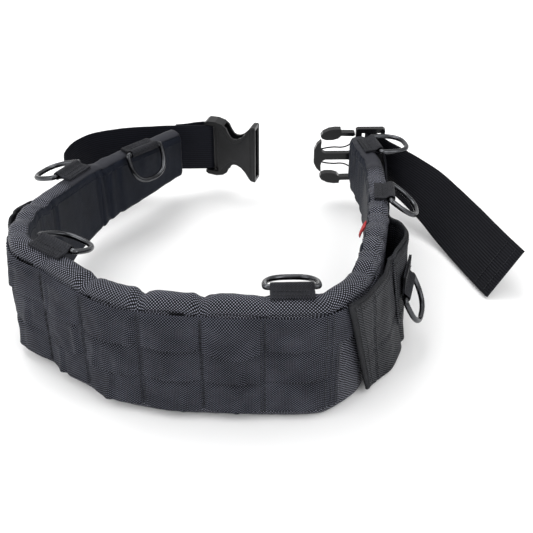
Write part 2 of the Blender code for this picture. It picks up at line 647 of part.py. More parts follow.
def main():
    clear_scene()
    belt = new_collection("work_belt")
    cutters = new_collection("cutters")
    line = Centreline(PAD_PLAN)
    build_foam(line, belt)
    build_cover(line, belt)
    build_liner(line, belt)
    build_rows(line, belt)
    build_sleeve("side_sleeve_right", RIGHT_SLEEVE, line, belt)
    build_sleeve("side_sleeve_left", LEFT_SLEEVE, line, belt)
    build_label(line, belt)
    build_left_strap(line, belt)
    build_right_strap(line, belt)
    build_tail(belt)
    build_rings(line, belt)
    build_female_buckle(belt, cutters)
    build_male_buckle(belt, cutters)


main()
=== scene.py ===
"""Visual model of the tool belt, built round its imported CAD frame. Metres, +Z up."""
import json
import math

import bpy
import bmesh
import numpy as np
from mathutils import Matrix, Vector, noise


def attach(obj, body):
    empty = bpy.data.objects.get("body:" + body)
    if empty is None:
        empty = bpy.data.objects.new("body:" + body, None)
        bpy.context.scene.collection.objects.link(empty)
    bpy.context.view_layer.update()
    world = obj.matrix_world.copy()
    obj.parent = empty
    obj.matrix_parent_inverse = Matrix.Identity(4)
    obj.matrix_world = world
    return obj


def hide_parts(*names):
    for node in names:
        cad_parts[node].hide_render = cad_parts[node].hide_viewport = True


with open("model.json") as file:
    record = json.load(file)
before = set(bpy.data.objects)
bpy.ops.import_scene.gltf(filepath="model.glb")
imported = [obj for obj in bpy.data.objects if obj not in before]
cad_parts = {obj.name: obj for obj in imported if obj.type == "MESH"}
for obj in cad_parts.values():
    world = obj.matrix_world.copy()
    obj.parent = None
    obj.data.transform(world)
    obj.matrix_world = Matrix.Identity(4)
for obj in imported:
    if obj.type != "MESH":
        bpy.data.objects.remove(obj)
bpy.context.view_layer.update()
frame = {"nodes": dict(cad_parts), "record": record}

# ---------------------------------------------------------------- measures shared with the CAD
PLAN_ORIGIN = np.array([0.0065, 0.1910])
PAD_PLAN = [(-0.104, 0.361), (-0.116, 0.348), (-0.134, 0.3265), (-0.160, 0.2985), (-0.179, 0.275),
            (-0.194, 0.249), (-0.207, 0.219), (-0.218, 0.188), (-0.225, 0.160), (-0.228, 0.134),
            (-0.227, 0.108), (-0.218, 0.088), (-0.191, 0.068), (-0.161, 0.042), (-0.137, 0.024),
            (-0.110, 0.014), (-0.075, 0.008), (-0.035, 0.005), (0.000, 0.004), (0.038, 0.005),
            (0.056, 0.012), (0.071, 0.026), (0.080, 0.041), (0.087, 0.058), (0.092, 0.076),
            (0.096, 0.095), (0.101, 0.122), (0.106, 0.152), (0.110, 0.190), (0.113, 0.230),
            (0.114, 0.262), (0.113, 0.285), (0.109, 0.308), (0.105, 0.328), (0.103, 0.347)]
PAD_EDGES = np.array([(0.000, 0.034, 0.091), (0.050, 0.030, 0.095), (0.100, 0.027, 0.098),
                      (0.180, 0.018, 0.107), (0.220, 0.010, 0.116), (0.260, 0.003, 0.125),
                      (0.290, 0.000, 0.129), (0.700, 0.000, 0.129), (0.740, 0.003, 0.123),
                      (0.780, 0.012, 0.113), (0.860, 0.024, 0.101), (0.910, 0.028, 0.098),
                      (0.963, 0.034, 0.091)])
PAD_FACE = 0.0103
ROW_THICKNESS = 0.0014
ROW_HEIGHT = 0.0342
ROW_PITCH = 0.0350
ROW_TOP = 0.1165
ROW_START = 0.284
UPPER_ROW_END = 0.666
ROW_EDGE = 0.008
STITCH_PITCH = 0.0523
CELLS = 6
COLUMNS = [ROW_START + ROW_EDGE + STITCH_PITCH * k for k in range(CELLS + 1)]
RIGHT_SLEEVE = np.array([(0.616, 0.0152, 0.0150, 0.007, 0.121), (0.627, 0.0152, 0.0150, 0.007, 0.1205),
                         (0.635, 0.0156, 0.0150, 0.007, 0.120), (0.641, 0.0165, 0.0150, 0.007, 0.119),
                         (0.655, 0.0195, 0.0152, 0.005, 0.118), (0.668, 0.0238, 0.0157, 0.003, 0.117),
                         (0.682, 0.0290, 0.0165, 0.003, 0.116), (0.695, 0.0335, 0.0180, 0.004, 0.115),
                         (0.709, 0.0350, 0.0200, 0.006, 0.114), (0.722, 0.0345, 0.0245, 0.008, 0.113),
                         (0.735, 0.0335, 0.0280, 0.010, 0.112), (0.749, 0.0315, 0.0285, 0.013, 0.110),
                         (0.762, 0.0285, 0.0265, 0.012, 0.107), (0.775, 0.0190, 0.0190, 0.010, 0.104),
                         (0.788, 0.0114, 0.0114, 0.010, 0.102)])
LEFT_SLEEVE = np.array([(0.200, 0.0116, 0.0116, 0.022, 0.102), (0.214, 0.0160, 0.0150, 0.016, 0.106),
                        (0.227, 0.0200, 0.0175, 0.011, 0.109), (0.241, 0.0215, 0.0185, 0.007, 0.112),
                        (0.254, 0.0195, 0.0170, 0.005, 0.113), (0.267, 0.0140, 0.0130, 0.004, 0.113),
                        (0.276, 0.0122, 0.0122, 0.004, 0.113)])
STRAP_WIDTH = 0.057
STRAP_THICKNESS = 0.0022
STRAP_HEIGHT = 0.060
STRAP_SEWN = PAD_FACE + 0.0003 + STRAP_THICKNESS / 2
BAR_LOOP = 0.0048
FEMALE_BAR = np.array([-0.066, 0.384])
FEMALE_HEADING = math.radians(-19)
MALE_BAR = np.array([0.117, 0.361])
MALE_HEADING = math.radians(181)
LEFT_FREE = [(-0.2085, 0.262), (-0.2145, 0.282), (-0.2190, 0.302), (-0.2205, 0.318), (-0.2165, 0.336),
             (-0.2045, 0.353), (-0.1880, 0.3640), (-0.164, 0.3715), (-0.136, 0.3760), (-0.110, 0.3782),
             (-0.088, 0.3788)]
LEFT_SEWN = (0.160, 0.215)
LEFT_RETURN = [(-0.080, 0.3865), (-0.092, 0.3828), (-0.104, 0.3808)]
RIGHT_SEWN = (0.822, 0.872)
RIGHT_FREE = [(0.1272, 0.275), (0.1285, 0.295), (0.1285, 0.316), (0.1250, 0.336)]
TAIL = [((0.1265, 0.3565, 0.0600), (0.00, 0.00)), ((0.1370, 0.3390, 0.0600), (0.00, 0.06)),
        ((0.1480, 0.3230, 0.0590), (0.05, 0.25)), ((0.1640, 0.3080, 0.0530), (0.20, 0.38)),
        ((0.1810, 0.2940, 0.0440), (0.42, 0.38)), ((0.1960, 0.2770, 0.0340), (0.60, 0.36)),
        ((0.2090, 0.2550, 0.0280), (0.70, 0.33)), ((0.2200, 0.2300, 0.0260), (0.73, 0.32)),
        ((0.2310, 0.2030, 0.0255), (0.73, 0.32)), ((0.2420, 0.1780, 0.0250), (0.74, 0.32))]
HEM_LENGTH = 0.026
TAIL_SPREAD = 0.004                 # how much wider the tail is at its end than at the buckle
SLEEVE_END = 0.788
RING_WIRE = 0.0026
RING_WIDTH = 0.0512
RING_CORNER = 0.0034
RING_DEPTH = 0.0355
TAB_WIDTH = 0.0380
TAB_PLY = 0.0013
BAR_OFFSET = 0.0128
BAR_RISE = 0.0020
SIDE_BAR_RISE = 0.0047
RINGS = [("1", 0.147, 1, 18), ("2", 0.058, -1, 66), ("3", 0.342, -1, 24), ("4", 0.578, -1, 22),
         ("5", 0.933, 1, 4), ("6", 0.818, 1, 36)]
SIDE_RING = (0.728, 0.062, 64)


# ---------------------------------------------------------------- curves
def distances(path):
    """Length along a path at each of its points."""
    return np.concatenate([[0], np.cumsum(np.linalg.norm(np.diff(path, axis=0), axis=1))])


def catmull(a, b, c, d, t):
    """Point of a Catmull-Rom curve between b and c."""
    return 0.5 * (2 * b + (c - a) * t + (2 * a - 5 * b + 4 * c - d) * t * t + (3 * b - a - 3 * c + d) * t ** 3)


def closed_spline(points, steps):
    """Closed Catmull-Rom curve through the points, as rows of an array."""
    p = np.array(points, float)
    n = len(p)
    return np.array([catmull(p[i - 1], p[i], p[(i + 1) % n], p[(i + 2) % n], k / steps)
                     for i in range(n) for k in range(steps)])


def sheet_coordinates(u, v):
    """Surface coordinates in metres for a grid of points."""
    return np.stack(np.meshgrid(u, v, indexing="ij"), axis=-1)


def spline(points, steps):
    """Catmull-Rom curve through the points, as rows of an array."""
    p = np.array([tuple(q) for q in points], float)
    p = np.vstack([2 * p[0] - p[1], p, 2 * p[-1] - p[-2]])
    out = []
    for a, b, c, d in zip(p, p[1:], p[2:], p[3:]):
        out += [catmull(a, b, c, d, i / steps) for i in range(steps)]
    out.append(p[-2])
    return np.array(out)


def resample(path, step):
    """The same route with points an even distance apart, measured on its first two or three columns."""
    width = min(path.shape[1], 3)
    along = distances(path[:, :width])
    at = np.linspace(0, along[-1], max(3, int(round(along[-1] / step)) + 1))
    return np.stack([np.interp(at, along, path[:, k]) for k in range(path.shape[1])], axis=1), at


LINE = spline([np.array(p) - PLAN_ORIGIN for p in PAD_PLAN], 24)
ALONG = distances(LINE)
LENGTH = ALONG[-1]


def centre(s):
    """Plan point on the pad's middle line at station s, in metres from its left end."""
    s = np.clip(s, 0, LENGTH)
    return np.stack([np.interp(s, ALONG, LINE[:, 0]), np.interp(s, ALONG, LINE[:, 1])], axis=-1)


def tangent(s, reach=0.006):
    """Heading of the middle line, towards the right end."""
    d = centre(np.asarray(s) + reach) - centre(np.asarray(s) - reach)
    return d / np.linalg.norm(d, axis=-1, keepdims=True)


def outward(s):
    """Plan direction away from the wearer."""
    t = tangent(s)
    return np.stack([t[..., 1], -t[..., 0]], axis=-1)


def at_offset(s, offset):
    """Plan point at a distance outward from the middle line."""
    return centre(s) + outward(s) * np.asarray(offset)[..., None]


def smooth_table(column, width=0.012):
    """A pad edge's height, read from the table and rounded off at its corners."""
    def read(s):
        s = np.asarray(s, float)
        total = 0
        for shift in (-1.0, -0.5, 0.0, 0.5, 1.0):
            total = total + np.interp(s + shift * width, PAD_EDGES[:, 0], PAD_EDGES[:, column])
        return total / 5
    return read


pad_low = smooth_table(1)
pad_high = smooth_table(2)


def bump(x, middle, width):
    """Bell curve of height 1."""
    return np.exp(-((np.asarray(x) - middle) / width) ** 2)


def ripple(points, size, seed):
    """Smooth noise from -1 to 1 at each point of an array of points."""
    flat = points.reshape(-1, 3)
    shift = Vector((seed * 7.1, seed * 3.7, seed * 5.3))
    values = [noise.noise(Vector(p) / size + shift) for p in flat]
    return np.array(values).reshape(points.shape[:-1])


# ---------------------------------------------------------------- meshes
def make_object(name, verts, faces, uvs, mat, body):
    """Smooth-shaded mesh object that rides a body."""
    mesh = bpy.data.meshes.new(name)
    mesh.from_pydata([tuple(v) for v in verts], [], faces)
    if uvs is not None:
        layer = mesh.uv_layers.new(name="metric")
        index = np.zeros(len(mesh.loops), np.int32)
        mesh.loops.foreach_get("vertex_index", index)
        layer.data.foreach_set("uv", np.asarray(uvs, np.float32)[index].ravel())
    mesh.polygons.foreach_set("use_smooth", [True] * len(mesh.polygons))
    mesh.materials.append(mat)
    mesh.update()
    obj = bpy.data.objects.new(name, mesh)
    bpy.context.scene.collection.objects.link(obj)
    if body:
        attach(obj, body)
    return obj


def grid_object(name, points, uvs, mat, body, thickness=0.0, closed=False):
    """Object from a grid of points; with a thickness it becomes cloth of that thickness."""
    rows, cols = points.shape[:2]
    faces = []
    for i in range(rows - 1):
        for j in range(cols if closed else cols - 1):
            k = (j + 1) % cols
            faces.append((i * cols + j, (i + 1) * cols + j, (i + 1) * cols + k, i * cols + k))
    obj = make_object(name, points.reshape(-1, 3), faces, uvs.reshape(-1, 2), mat, body)
    if thickness:
        solid = obj.modifiers.new("thickness", "SOLIDIFY")
        solid.thickness = thickness
        solid.offset = 0.0
    return obj


def normals_of(points):
    """Unit normals of a grid of points."""
    du = np.gradient(points, axis=0)
    dv = np.gradient(points, axis=1)
    n = np.cross(du, dv)
    return n / np.maximum(np.linalg.norm(n, axis=-1, keepdims=True), 1e-12)


def facing(points, row, col, station, side=1):
    """Normals of a grid, turned so that they point away from the pad's middle at one of its points."""
    normal = normals_of(points)
    return -normal if (normal[row, col, :2] @ outward(station)) * side < 0 else normal


def join_meshes(name, parts, mat, body):
    """One object from several (verts, faces, uvs) parts."""
    verts, faces, uvs = [], [], []
    for v, f, t in parts:
        base = len(verts)
        verts.extend(map(tuple, v))
        uvs.extend(map(tuple, t))
        faces.extend(tuple(base + i for i in face) for face in f)
    return make_object(name, verts, faces, uvs, mat, body)


def tube(path, radius, sides, closed=False, up=None):
    """Tube round a path of points, as (verts, faces, uvs)."""
    path = np.asarray(path, float)
    n = len(path)
    if closed:
        d = np.roll(path, -1, axis=0) - np.roll(path, 1, axis=0)
    else:
        d = np.gradient(path, axis=0)
    d /= np.maximum(np.linalg.norm(d, axis=1, keepdims=True), 1e-12)
    ref = np.tile(np.array(up if up is not None else (0.0, 0.0, 1.0), float), (n, 1))
    side = np.cross(d, ref)
    weak = np.linalg.norm(side, axis=1) < 1e-3
    side[weak] = np.cross(d[weak], np.array([0.0, 1.0, 0.0]))
    side /= np.linalg.norm(side, axis=1, keepdims=True)
    top = np.cross(side, d)
    r = np.broadcast_to(np.asarray(radius, float), (n,))
    verts, uvs, faces = [], [], []
    along = distances(path)
    for i in range(n):
        for j in range(sides):
            a = 2 * math.pi * j / sides
            verts.append(path[i] + side[i] * r[i] * math.cos(a) + top[i] * r[i] * math.sin(a))
            uvs.append((along[i], a * r[i]))
    for i in range(n if closed else n - 1):
        k = (i + 1) % n
        for j in range(sides):
            m = (j + 1) % sides
            faces.append((i * sides + j, i * sides + m, k * sides + m, k * sides + j))
    if not closed:
        faces.append(tuple(reversed(range(sides))))
        faces.append(tuple(range((n - 1) * sides, n * sides)))
    return verts, faces, uvs


STITCHES = {}


def stitch(body, points, normals, length=0.0026, gap=0.0011, radius=0.00034, lift=0.00012):
    """Thread along a line of points on a surface: short beads that dip in at both ends."""
    points = np.asarray(points, float)
    normals = np.asarray(normals, float)
    along = distances(points)
    at = gap
    while at + length < along[-1]:
        t = np.linspace(at, at + length, 5)
        p = np.stack([np.interp(t, along, points[:, k]) for k in range(3)], axis=1)
        n = np.stack([np.interp(t, along, normals[:, k]) for k in range(3)], axis=1)
        n /= np.maximum(np.linalg.norm(n, axis=1, keepdims=True), 1e-9)
        rise = np.array([-1.0, 0.6, 1.0, 0.6, -1.0]) * radius + lift
        p = p + n * rise[:, None]
        STITCHES.setdefault(body, []).append(tube(p, [radius * 0.7, radius, radius, radius, radius * 0.7],
                                                  5, up=n[2]))
        at += length + gap


def sew(points, normal, at, height, *sizes):
    """Stitches along one line of a grid of points on the pad, picked by its index."""
    stitch("pad", points[at] + normal[at] * height, normal[at], *sizes)


# ---------------------------------------------------------------- materials
class Shader:
    """A node material with a few shorthands."""

    def __init__(self, name, color, roughness, metallic=0.0, **sockets):
        self.mat = bpy.data.materials.new(name)
        self.mat.use_nodes = True
        self.tree = self.mat.node_tree
        self.main = self.tree.nodes["Principled BSDF"]
        self.main.inputs["Base Color"].default_value = (*color, 1.0)
        self.main.inputs["Roughness"].default_value = roughness
        self.main.inputs["Metallic"].default_value = metallic
        for key, value in sockets.items():
            self.main.inputs[key.replace("_", " ")].default_value = value

    def node(self, kind, **settings):
        n = self.tree.nodes.new(kind)
        for key, value in settings.items():
            setattr(n, key, value)
        return n

    def put(self, value, socket):
        if isinstance(value, bpy.types.NodeSocket):
            self.tree.links.new(value, socket)
        else:
            socket.default_value = value

    def math(self, operation, a, b=0.0, c=0.0, clamp=False):
        n = self.node("ShaderNodeMath", operation=operation, use_clamp=clamp)
        self.put(a, n.inputs[0])
        self.put(b, n.inputs[1])
        self.put(c, n.inputs[2])
        return n.outputs[0]

    def metric(self):
        """The piece's own surface coordinates in metres."""
        uv = self.node("ShaderNodeUVMap", uv_map="metric")
        split = self.node("ShaderNodeSeparateXYZ")
        self.put(uv.outputs[0], split.inputs[0])
        return split.outputs[0], split.outputs[1]

    def noise(self, scale, detail=3.0, vector=None, roughness=0.55):
        n = self.node("ShaderNodeTexNoise")
        n.inputs["Scale"].default_value = scale
        n.inputs["Detail"].default_value = detail
        n.inputs["Roughness"].default_value = roughness
        if vector is None:
            vector = self.node("ShaderNodeTexCoord").outputs["Object"]
        self.put(vector, n.inputs["Vector"])
        return n.outputs["Fac"]

    def ramp(self, value, stops):
        n = self.node("ShaderNodeValToRGB")
        elements = n.color_ramp.elements
        while len(elements) < len(stops):
            elements.new(0.5)
        for element, (place, color) in zip(elements, stops):
            element.position = place
            element.color = (*color, 1.0) if len(color) == 3 else color
        self.put(value, n.inputs["Fac"])
        return n.outputs["Color"]

    def color(self, socket):
        self.put(socket, self.main.inputs["Base Color"])

    def rough(self, value, low, high):
        n = self.node("ShaderNodeMapRange")
        self.put(value, n.inputs["Value"])
        n.inputs["To Min"].default_value = low
        n.inputs["To Max"].default_value = high
        self.put(n.outputs[0], self.main.inputs["Roughness"])

    def bumps(self, height, distance, strength=1.0, under=None):
        n = self.node("ShaderNodeBump")
        n.inputs["Distance"].default_value = distance
        n.inputs["Strength"].default_value = strength
        self.put(height, n.inputs["Height"])
        if under is not None:
            self.put(under, n.inputs["Normal"])
        return n.outputs[0]

    def normal(self, socket):
        self.put(socket, self.main.inputs["Normal"])


def wave(shader, coordinate, pitch):
    """Sine of a coordinate, one period per pitch."""
    return shader.math("SINE", shader.math("MULTIPLY", coordinate, 2 * math.pi / pitch))


def woven(name, pitch_u, pitch_v, dark, light, rough=(0.62, 0.40), relief=0.00035, blotch_and_fold_shade=0.25,
          contrast=1.0, spec=0.5, window=None):
    """Plain or basket weave: raised thread crossings in a checker, coloured as painted highlights, with painted shade
    in the gaps between them; lint speckle, and random blotches that are partly painted shade of folds and wrinkles.
    """
    sh = Shader(name, light, rough[0], Specular_IOR_Level=spec)
    u, v = sh.metric()
    wobble = sh.noise(90.0, 2.0)
    u = sh.math("MULTIPLY_ADD", wobble, pitch_u * 0.5, u)
    v = sh.math("MULTIPLY_ADD", wobble, -pitch_v * 0.4, v)
    weave = sh.math("MULTIPLY", wave(sh, u, pitch_u), wave(sh, v, pitch_v))
    height = sh.math("MULTIPLY_ADD", weave, 0.5, 0.5, clamp=True)
    fibre = sh.noise(2600.0, 2.0)
    patch = sh.noise(34.0, 4.0)
    shade = sh.math("MULTIPLY_ADD", fibre, 0.36, -0.18)
    shade = sh.math("ADD", sh.math("MULTIPLY", height, contrast), shade)
    # random blotches of tone, partly standing in for painted shade of folds and wrinkles
    shade = sh.math("MULTIPLY_ADD", patch, blotch_and_fold_shade, shade, clamp=True)
    if window:
        plain = sh.metric()[0]
        rise = sh.math("MULTIPLY_ADD", plain, 90.0, -90.0 * window[0], clamp=True)
        fall = sh.math("MULTIPLY_ADD", plain, -90.0, 90.0 * window[1], clamp=True)
        inside = sh.math("MULTIPLY", rise, fall)
        height = sh.math("MULTIPLY", height, inside)
        smooth = sh.math("MULTIPLY_ADD", fibre, 0.10, 0.54)
        shade = sh.math("ADD", smooth, sh.math("MULTIPLY", inside, sh.math("SUBTRACT", shade, smooth)))
    middle = tuple(a * 0.7 + b * 0.22 for a, b in zip(dark, light))
    # painted light: the gaps between threads are coloured dark as painted shade, the raised crossings light as
    # painted highlights
    sh.color(sh.ramp(shade, [(0.52, dark), (0.70, middle), (0.92, light)]))
    sh.rough(shade, *rough)
    fine = sh.bumps(fibre, 0.00006, 0.6)
    sh.normal(sh.bumps(height, relief, 1.0, fine))
    return sh.mat


def ribbed(name, dark, light, across=0.0026, rough=(0.66, 0.46)):
    """Webbing whose ribs run along it: fine cross threads and soft shading between the ribs."""
    sh = Shader(name, light, rough[0], Specular_IOR_Level=0.08)
    u, v = sh.metric()
    ribs = sh.math("MULTIPLY_ADD", wave(sh, v, across), 0.5, 0.5)
    slant = sh.math("MULTIPLY_ADD", v, 1.6, u)
    threads = sh.math("MULTIPLY_ADD", wave(sh, slant, 0.0011), 0.5, 0.5)
    height = sh.math("MULTIPLY_ADD", threads, 0.35, ribs)
    fibre = sh.noise(2200.0, 2.0)
    patch = sh.noise(28.0, 3.0)
    shade = sh.math("MULTIPLY", height, 0.6)
    shade = sh.math("MULTIPLY_ADD", fibre, 0.25, shade)
    shade = sh.math("MULTIPLY_ADD", patch, 0.2, shade, clamp=True)
    sh.color(sh.ramp(shade, [(0.15, dark), (1.0, light)]))
    sh.rough(shade, *rough)
    fine = sh.bumps(fibre, 0.00005, 0.5)
    sh.normal(sh.bumps(height, 0.00016, 1.0, fine))
    return sh.mat


def twill(name, dark, light, pitch=0.0011):
    """Smooth fine twill with soft creases."""
    sh = Shader(name, light, 0.6, Specular_IOR_Level=0.10)
    u, v = sh.metric()
    lines = sh.math("MULTIPLY_ADD", wave(sh, sh.math("ADD", u, v), pitch), 0.5, 0.5)
    fibre = sh.noise(1800.0, 2.0)
    patch = sh.noise(22.0, 4.0)
    shade = sh.math("MULTIPLY_ADD", lines, 0.4, sh.math("MULTIPLY", patch, 0.55))
    shade = sh.math("MULTIPLY_ADD", fibre, 0.2, shade, clamp=True)
    sh.color(sh.ramp(shade, [(0.1, dark), (1.0, light)]))
    sh.rough(shade, 0.62, 0.48)
    crease = sh.bumps(sh.noise(120.0, 5.0), 0.0008, 0.35)
    sh.normal(sh.bumps(lines, 0.00009, 1.0, crease))
    return sh.mat


def dark_nickel():
    """Polished dark nickel over steel, with cloudy plating and fine scratches."""
    sh = Shader("dark_nickel", (0.10, 0.102, 0.108), 0.2, 1.0)
    cloud = sh.noise(60.0, 4.0)
    coords = sh.node("ShaderNodeTexCoord")
    stretch = sh.node("ShaderNodeMapping")
    stretch.inputs["Scale"].default_value = (900.0, 900.0, 60.0)
    sh.put(coords.outputs["Object"], stretch.inputs["Vector"])
    scratch = sh.noise(1.0, 3.0, stretch.outputs[0])
    sh.color(sh.ramp(cloud, [(0.3, (0.030, 0.031, 0.034)), (0.7, (0.105, 0.108, 0.115))]))
    sh.rough(sh.math("MULTIPLY_ADD", scratch, 0.5, sh.math("MULTIPLY", cloud, 0.5)), 0.12, 0.34)
    sh.normal(sh.bumps(scratch, 0.00003, 0.4))
    return sh.mat


def moulded(name, color, rough, grain=0.35):
    """Moulded plastic: faint grain, scuffs and paler handling marks."""
    sh = Shader(name, color, rough, Specular_IOR_Level=0.20, Coat_Weight=0.25, Coat_Roughness=0.08)
    fine = sh.noise(1400.0, 3.0)
    scuff = sh.noise(75.0, 6.0, roughness=0.7)
    pale = tuple(c * 2.1 + 0.004 for c in color)
    sh.color(sh.ramp(sh.math("MULTIPLY_ADD", fine, 0.25, sh.math("MULTIPLY", scuff, 0.75)),
                     [(0.35, tuple(c * 0.75 for c in color)), (0.85, pale)]))
    sh.rough(scuff, rough - 0.06, rough + 0.14)
    sh.normal(sh.bumps(fine, 0.00006, grain))
    return sh.mat


def plain_thread():
    sh = Shader("thread", (0.02, 0.021, 0.024), 0.5, Specular_IOR_Level=0.3)
    fibre = sh.noise(3000.0, 2.0)
    sh.color(sh.ramp(fibre, [(0.3, (0.004, 0.0045, 0.006)), (0.8, (0.026, 0.028, 0.034))]))
    sh.normal(sh.bumps(fibre, 0.0001, 0.6))
    return sh.mat


BALLISTIC = woven("ballistic_weave", 0.0027, 0.0027, (0.0008, 0.0008, 0.0014), (0.300, 0.310, 0.375),
                  (0.55, 0.36), 0.00055, 0.10, 0.92, 0.08, (0.168, 0.885))
LOOPWEB = woven("loop_webbing_weave", 0.0025, 0.0022, (0.0010, 0.0011, 0.0018), (0.105, 0.110, 0.138),
                (0.68, 0.48), 0.00034, 0.34, 0.88, 0.06)
SLEEVEWEB = woven("sleeve_weave", 0.0025, 0.0025, (0.0012, 0.0012, 0.0016), (0.098, 0.102, 0.116),
                  (0.64, 0.44), 0.00042, 0.28, 0.9, 0.07)
BINDING = woven("binding_weave", 0.0014, 0.0016, (0.0014, 0.0014, 0.002), (0.100, 0.104, 0.118),
                (0.64, 0.46), 0.00020, 0.2, 0.8, 0.08)
TABWEB = woven("tab_weave", 0.0014, 0.0022, (0.0018, 0.0018, 0.0026), (0.095, 0.099, 0.118),
               (0.62, 0.44), 0.00030, 0.2, 0.8, 0.10)
BELTWEB = ribbed("belt_webbing_ribs", (0.0012, 0.0013, 0.0022), (0.011, 0.0120, 0.018))
TAILWEB = ribbed("tail_webbing_ribs", (0.0006, 0.0006, 0.0009), (0.0150, 0.0155, 0.0200))
LINER = twill("liner_twill", (0.0018, 0.0022, 0.0040), (0.0125, 0.0160, 0.0270))
NICKEL = dark_nickel()
SATIN = moulded("satin_plastic", (0.0035, 0.0037, 0.0045), 0.30)
GLOSS = moulded("gloss_plastic", (0.003, 0.0032, 0.004), 0.16, 0.2)
THREAD = plain_thread()
RED = woven("red_label_weave", 0.0008, 0.0008, (0.35, 0.004, 0.006), (0.75, 0.015, 0.02),
            (0.6, 0.5), 0.00010, 0.3, 0.6, 0.3)


# ---------------------------------------------------------------- camera, floor and light
def studio():
    """Camera, white floor, world and three soft lights."""
    scene = bpy.context.scene
    scene.view_settings.view_transform = "Standard"
    data = bpy.data.cameras.new("camera")
    data.sensor_width = 36.0
    data.lens = 71.6
    camera = bpy.data.objects.new("camera", data)
    scene.collection.objects.link(camera)
    camera.location = (-PLAN_ORIGIN[0], -0.696 - PLAN_ORIGIN[1], 0.670)
    camera.rotation_euler = (math.radians(54), 0.0, 0.0)
    scene.camera = camera

    world = bpy.data.worlds.new("studio")
    scene.world = world
    world.use_nodes = True
    world.node_tree.nodes["Background"].inputs[0].default_value = (1.0, 1.0, 1.0, 1.0)
    world.node_tree.nodes["Background"].inputs[1].default_value = 0.82

    def area(name, place, target, size, power):
        light = bpy.data.lights.new(name, "AREA")
        light.size = size
        light.energy = power
        obj = bpy.data.objects.new(name, light)
        obj.location = place
        aim = Vector(target) - Vector(place)
        obj.rotation_euler = aim.to_track_quat("-Z", "Y").to_euler()
        scene.collection.objects.link(obj)

    area("key", (-0.35, 0.55, 1.35), (0.0, 0.0, 0.06), 1.0, 11.0)
    area("fill", (0.9, -0.8, 1.1), (0.0, 0.0, 0.06), 1.1, 9.5)
    area("left", (-1.1, -0.6, 0.9), (0.0, 0.0, 0.06), 1.1, 9.5)

    sh = Shader("floor", (0.93, 0.93, 0.93), 0.8, Specular_IOR_Level=0.2)
    bm = bmesh.new()
    bmesh.ops.create_grid(bm, x_segments=8, y_segments=8, size=4.0)
    mesh = bpy.data.meshes.new("floor")
    bm.to_mesh(mesh)
    bm.free()
    mesh.materials.append(sh.mat)
    floor = bpy.data.objects.new("floor", mesh)
    floor.location = (0.0, 0.0, -0.0005)
    scene.collection.objects.link(floor)


# ---------------------------------------------------------------- the pad
NOTCHES = [(COLUMNS[0], 0.0012, 0.006), (COLUMNS[1], 0.0016, 0.006), (COLUMNS[2], 0.0032, 0.0048),
           (COLUMNS[3], 0.0040, 0.0042), (COLUMNS[4], 0.0030, 0.0045), (COLUMNS[5], 0.0014, 0.006),
           (COLUMNS[6], 0.0016, 0.006), (0.655, 0.0024, 0.005), (0.690, 0.0034, 0.0048), (0.745, 0.0020, 0.006),
           (0.716, 0.0030, 0.005), (0.772, 0.0032, 0.005), (0.806, 0.0030, 0.005),
           (0.838, 0.0022, 0.006), (0.868, 0.0020, 0.006), (0.225, 0.0020, 0.006), (0.262, 0.0022, 0.006),
           (0.110, 0.0012, 0.006)]
CORNER_POWER = 2.0 / 2.5


def pad_profile(s, angle, high, low, half):
    """Offset and height on the pad's rounded section: angle 0 is the inner face, pi the outer face."""
    c, q = np.cos(angle), np.sin(angle)
    x = -half * np.sign(c) * np.abs(c) ** CORNER_POWER
    z = np.where(q >= 0, high - half + half * np.abs(q) ** CORNER_POWER,
                 low + half - half * np.abs(q) ** CORNER_POWER)
    return x, z


def pinch(s):
    """How far the seams pull the pad's top edge down."""
    total = 0
    for place, depth, width in NOTCHES:
        total = total + 1.25 * depth * (bump(s, place, width) + 0.35 * bump(s, place, width * 2.6))
    return total


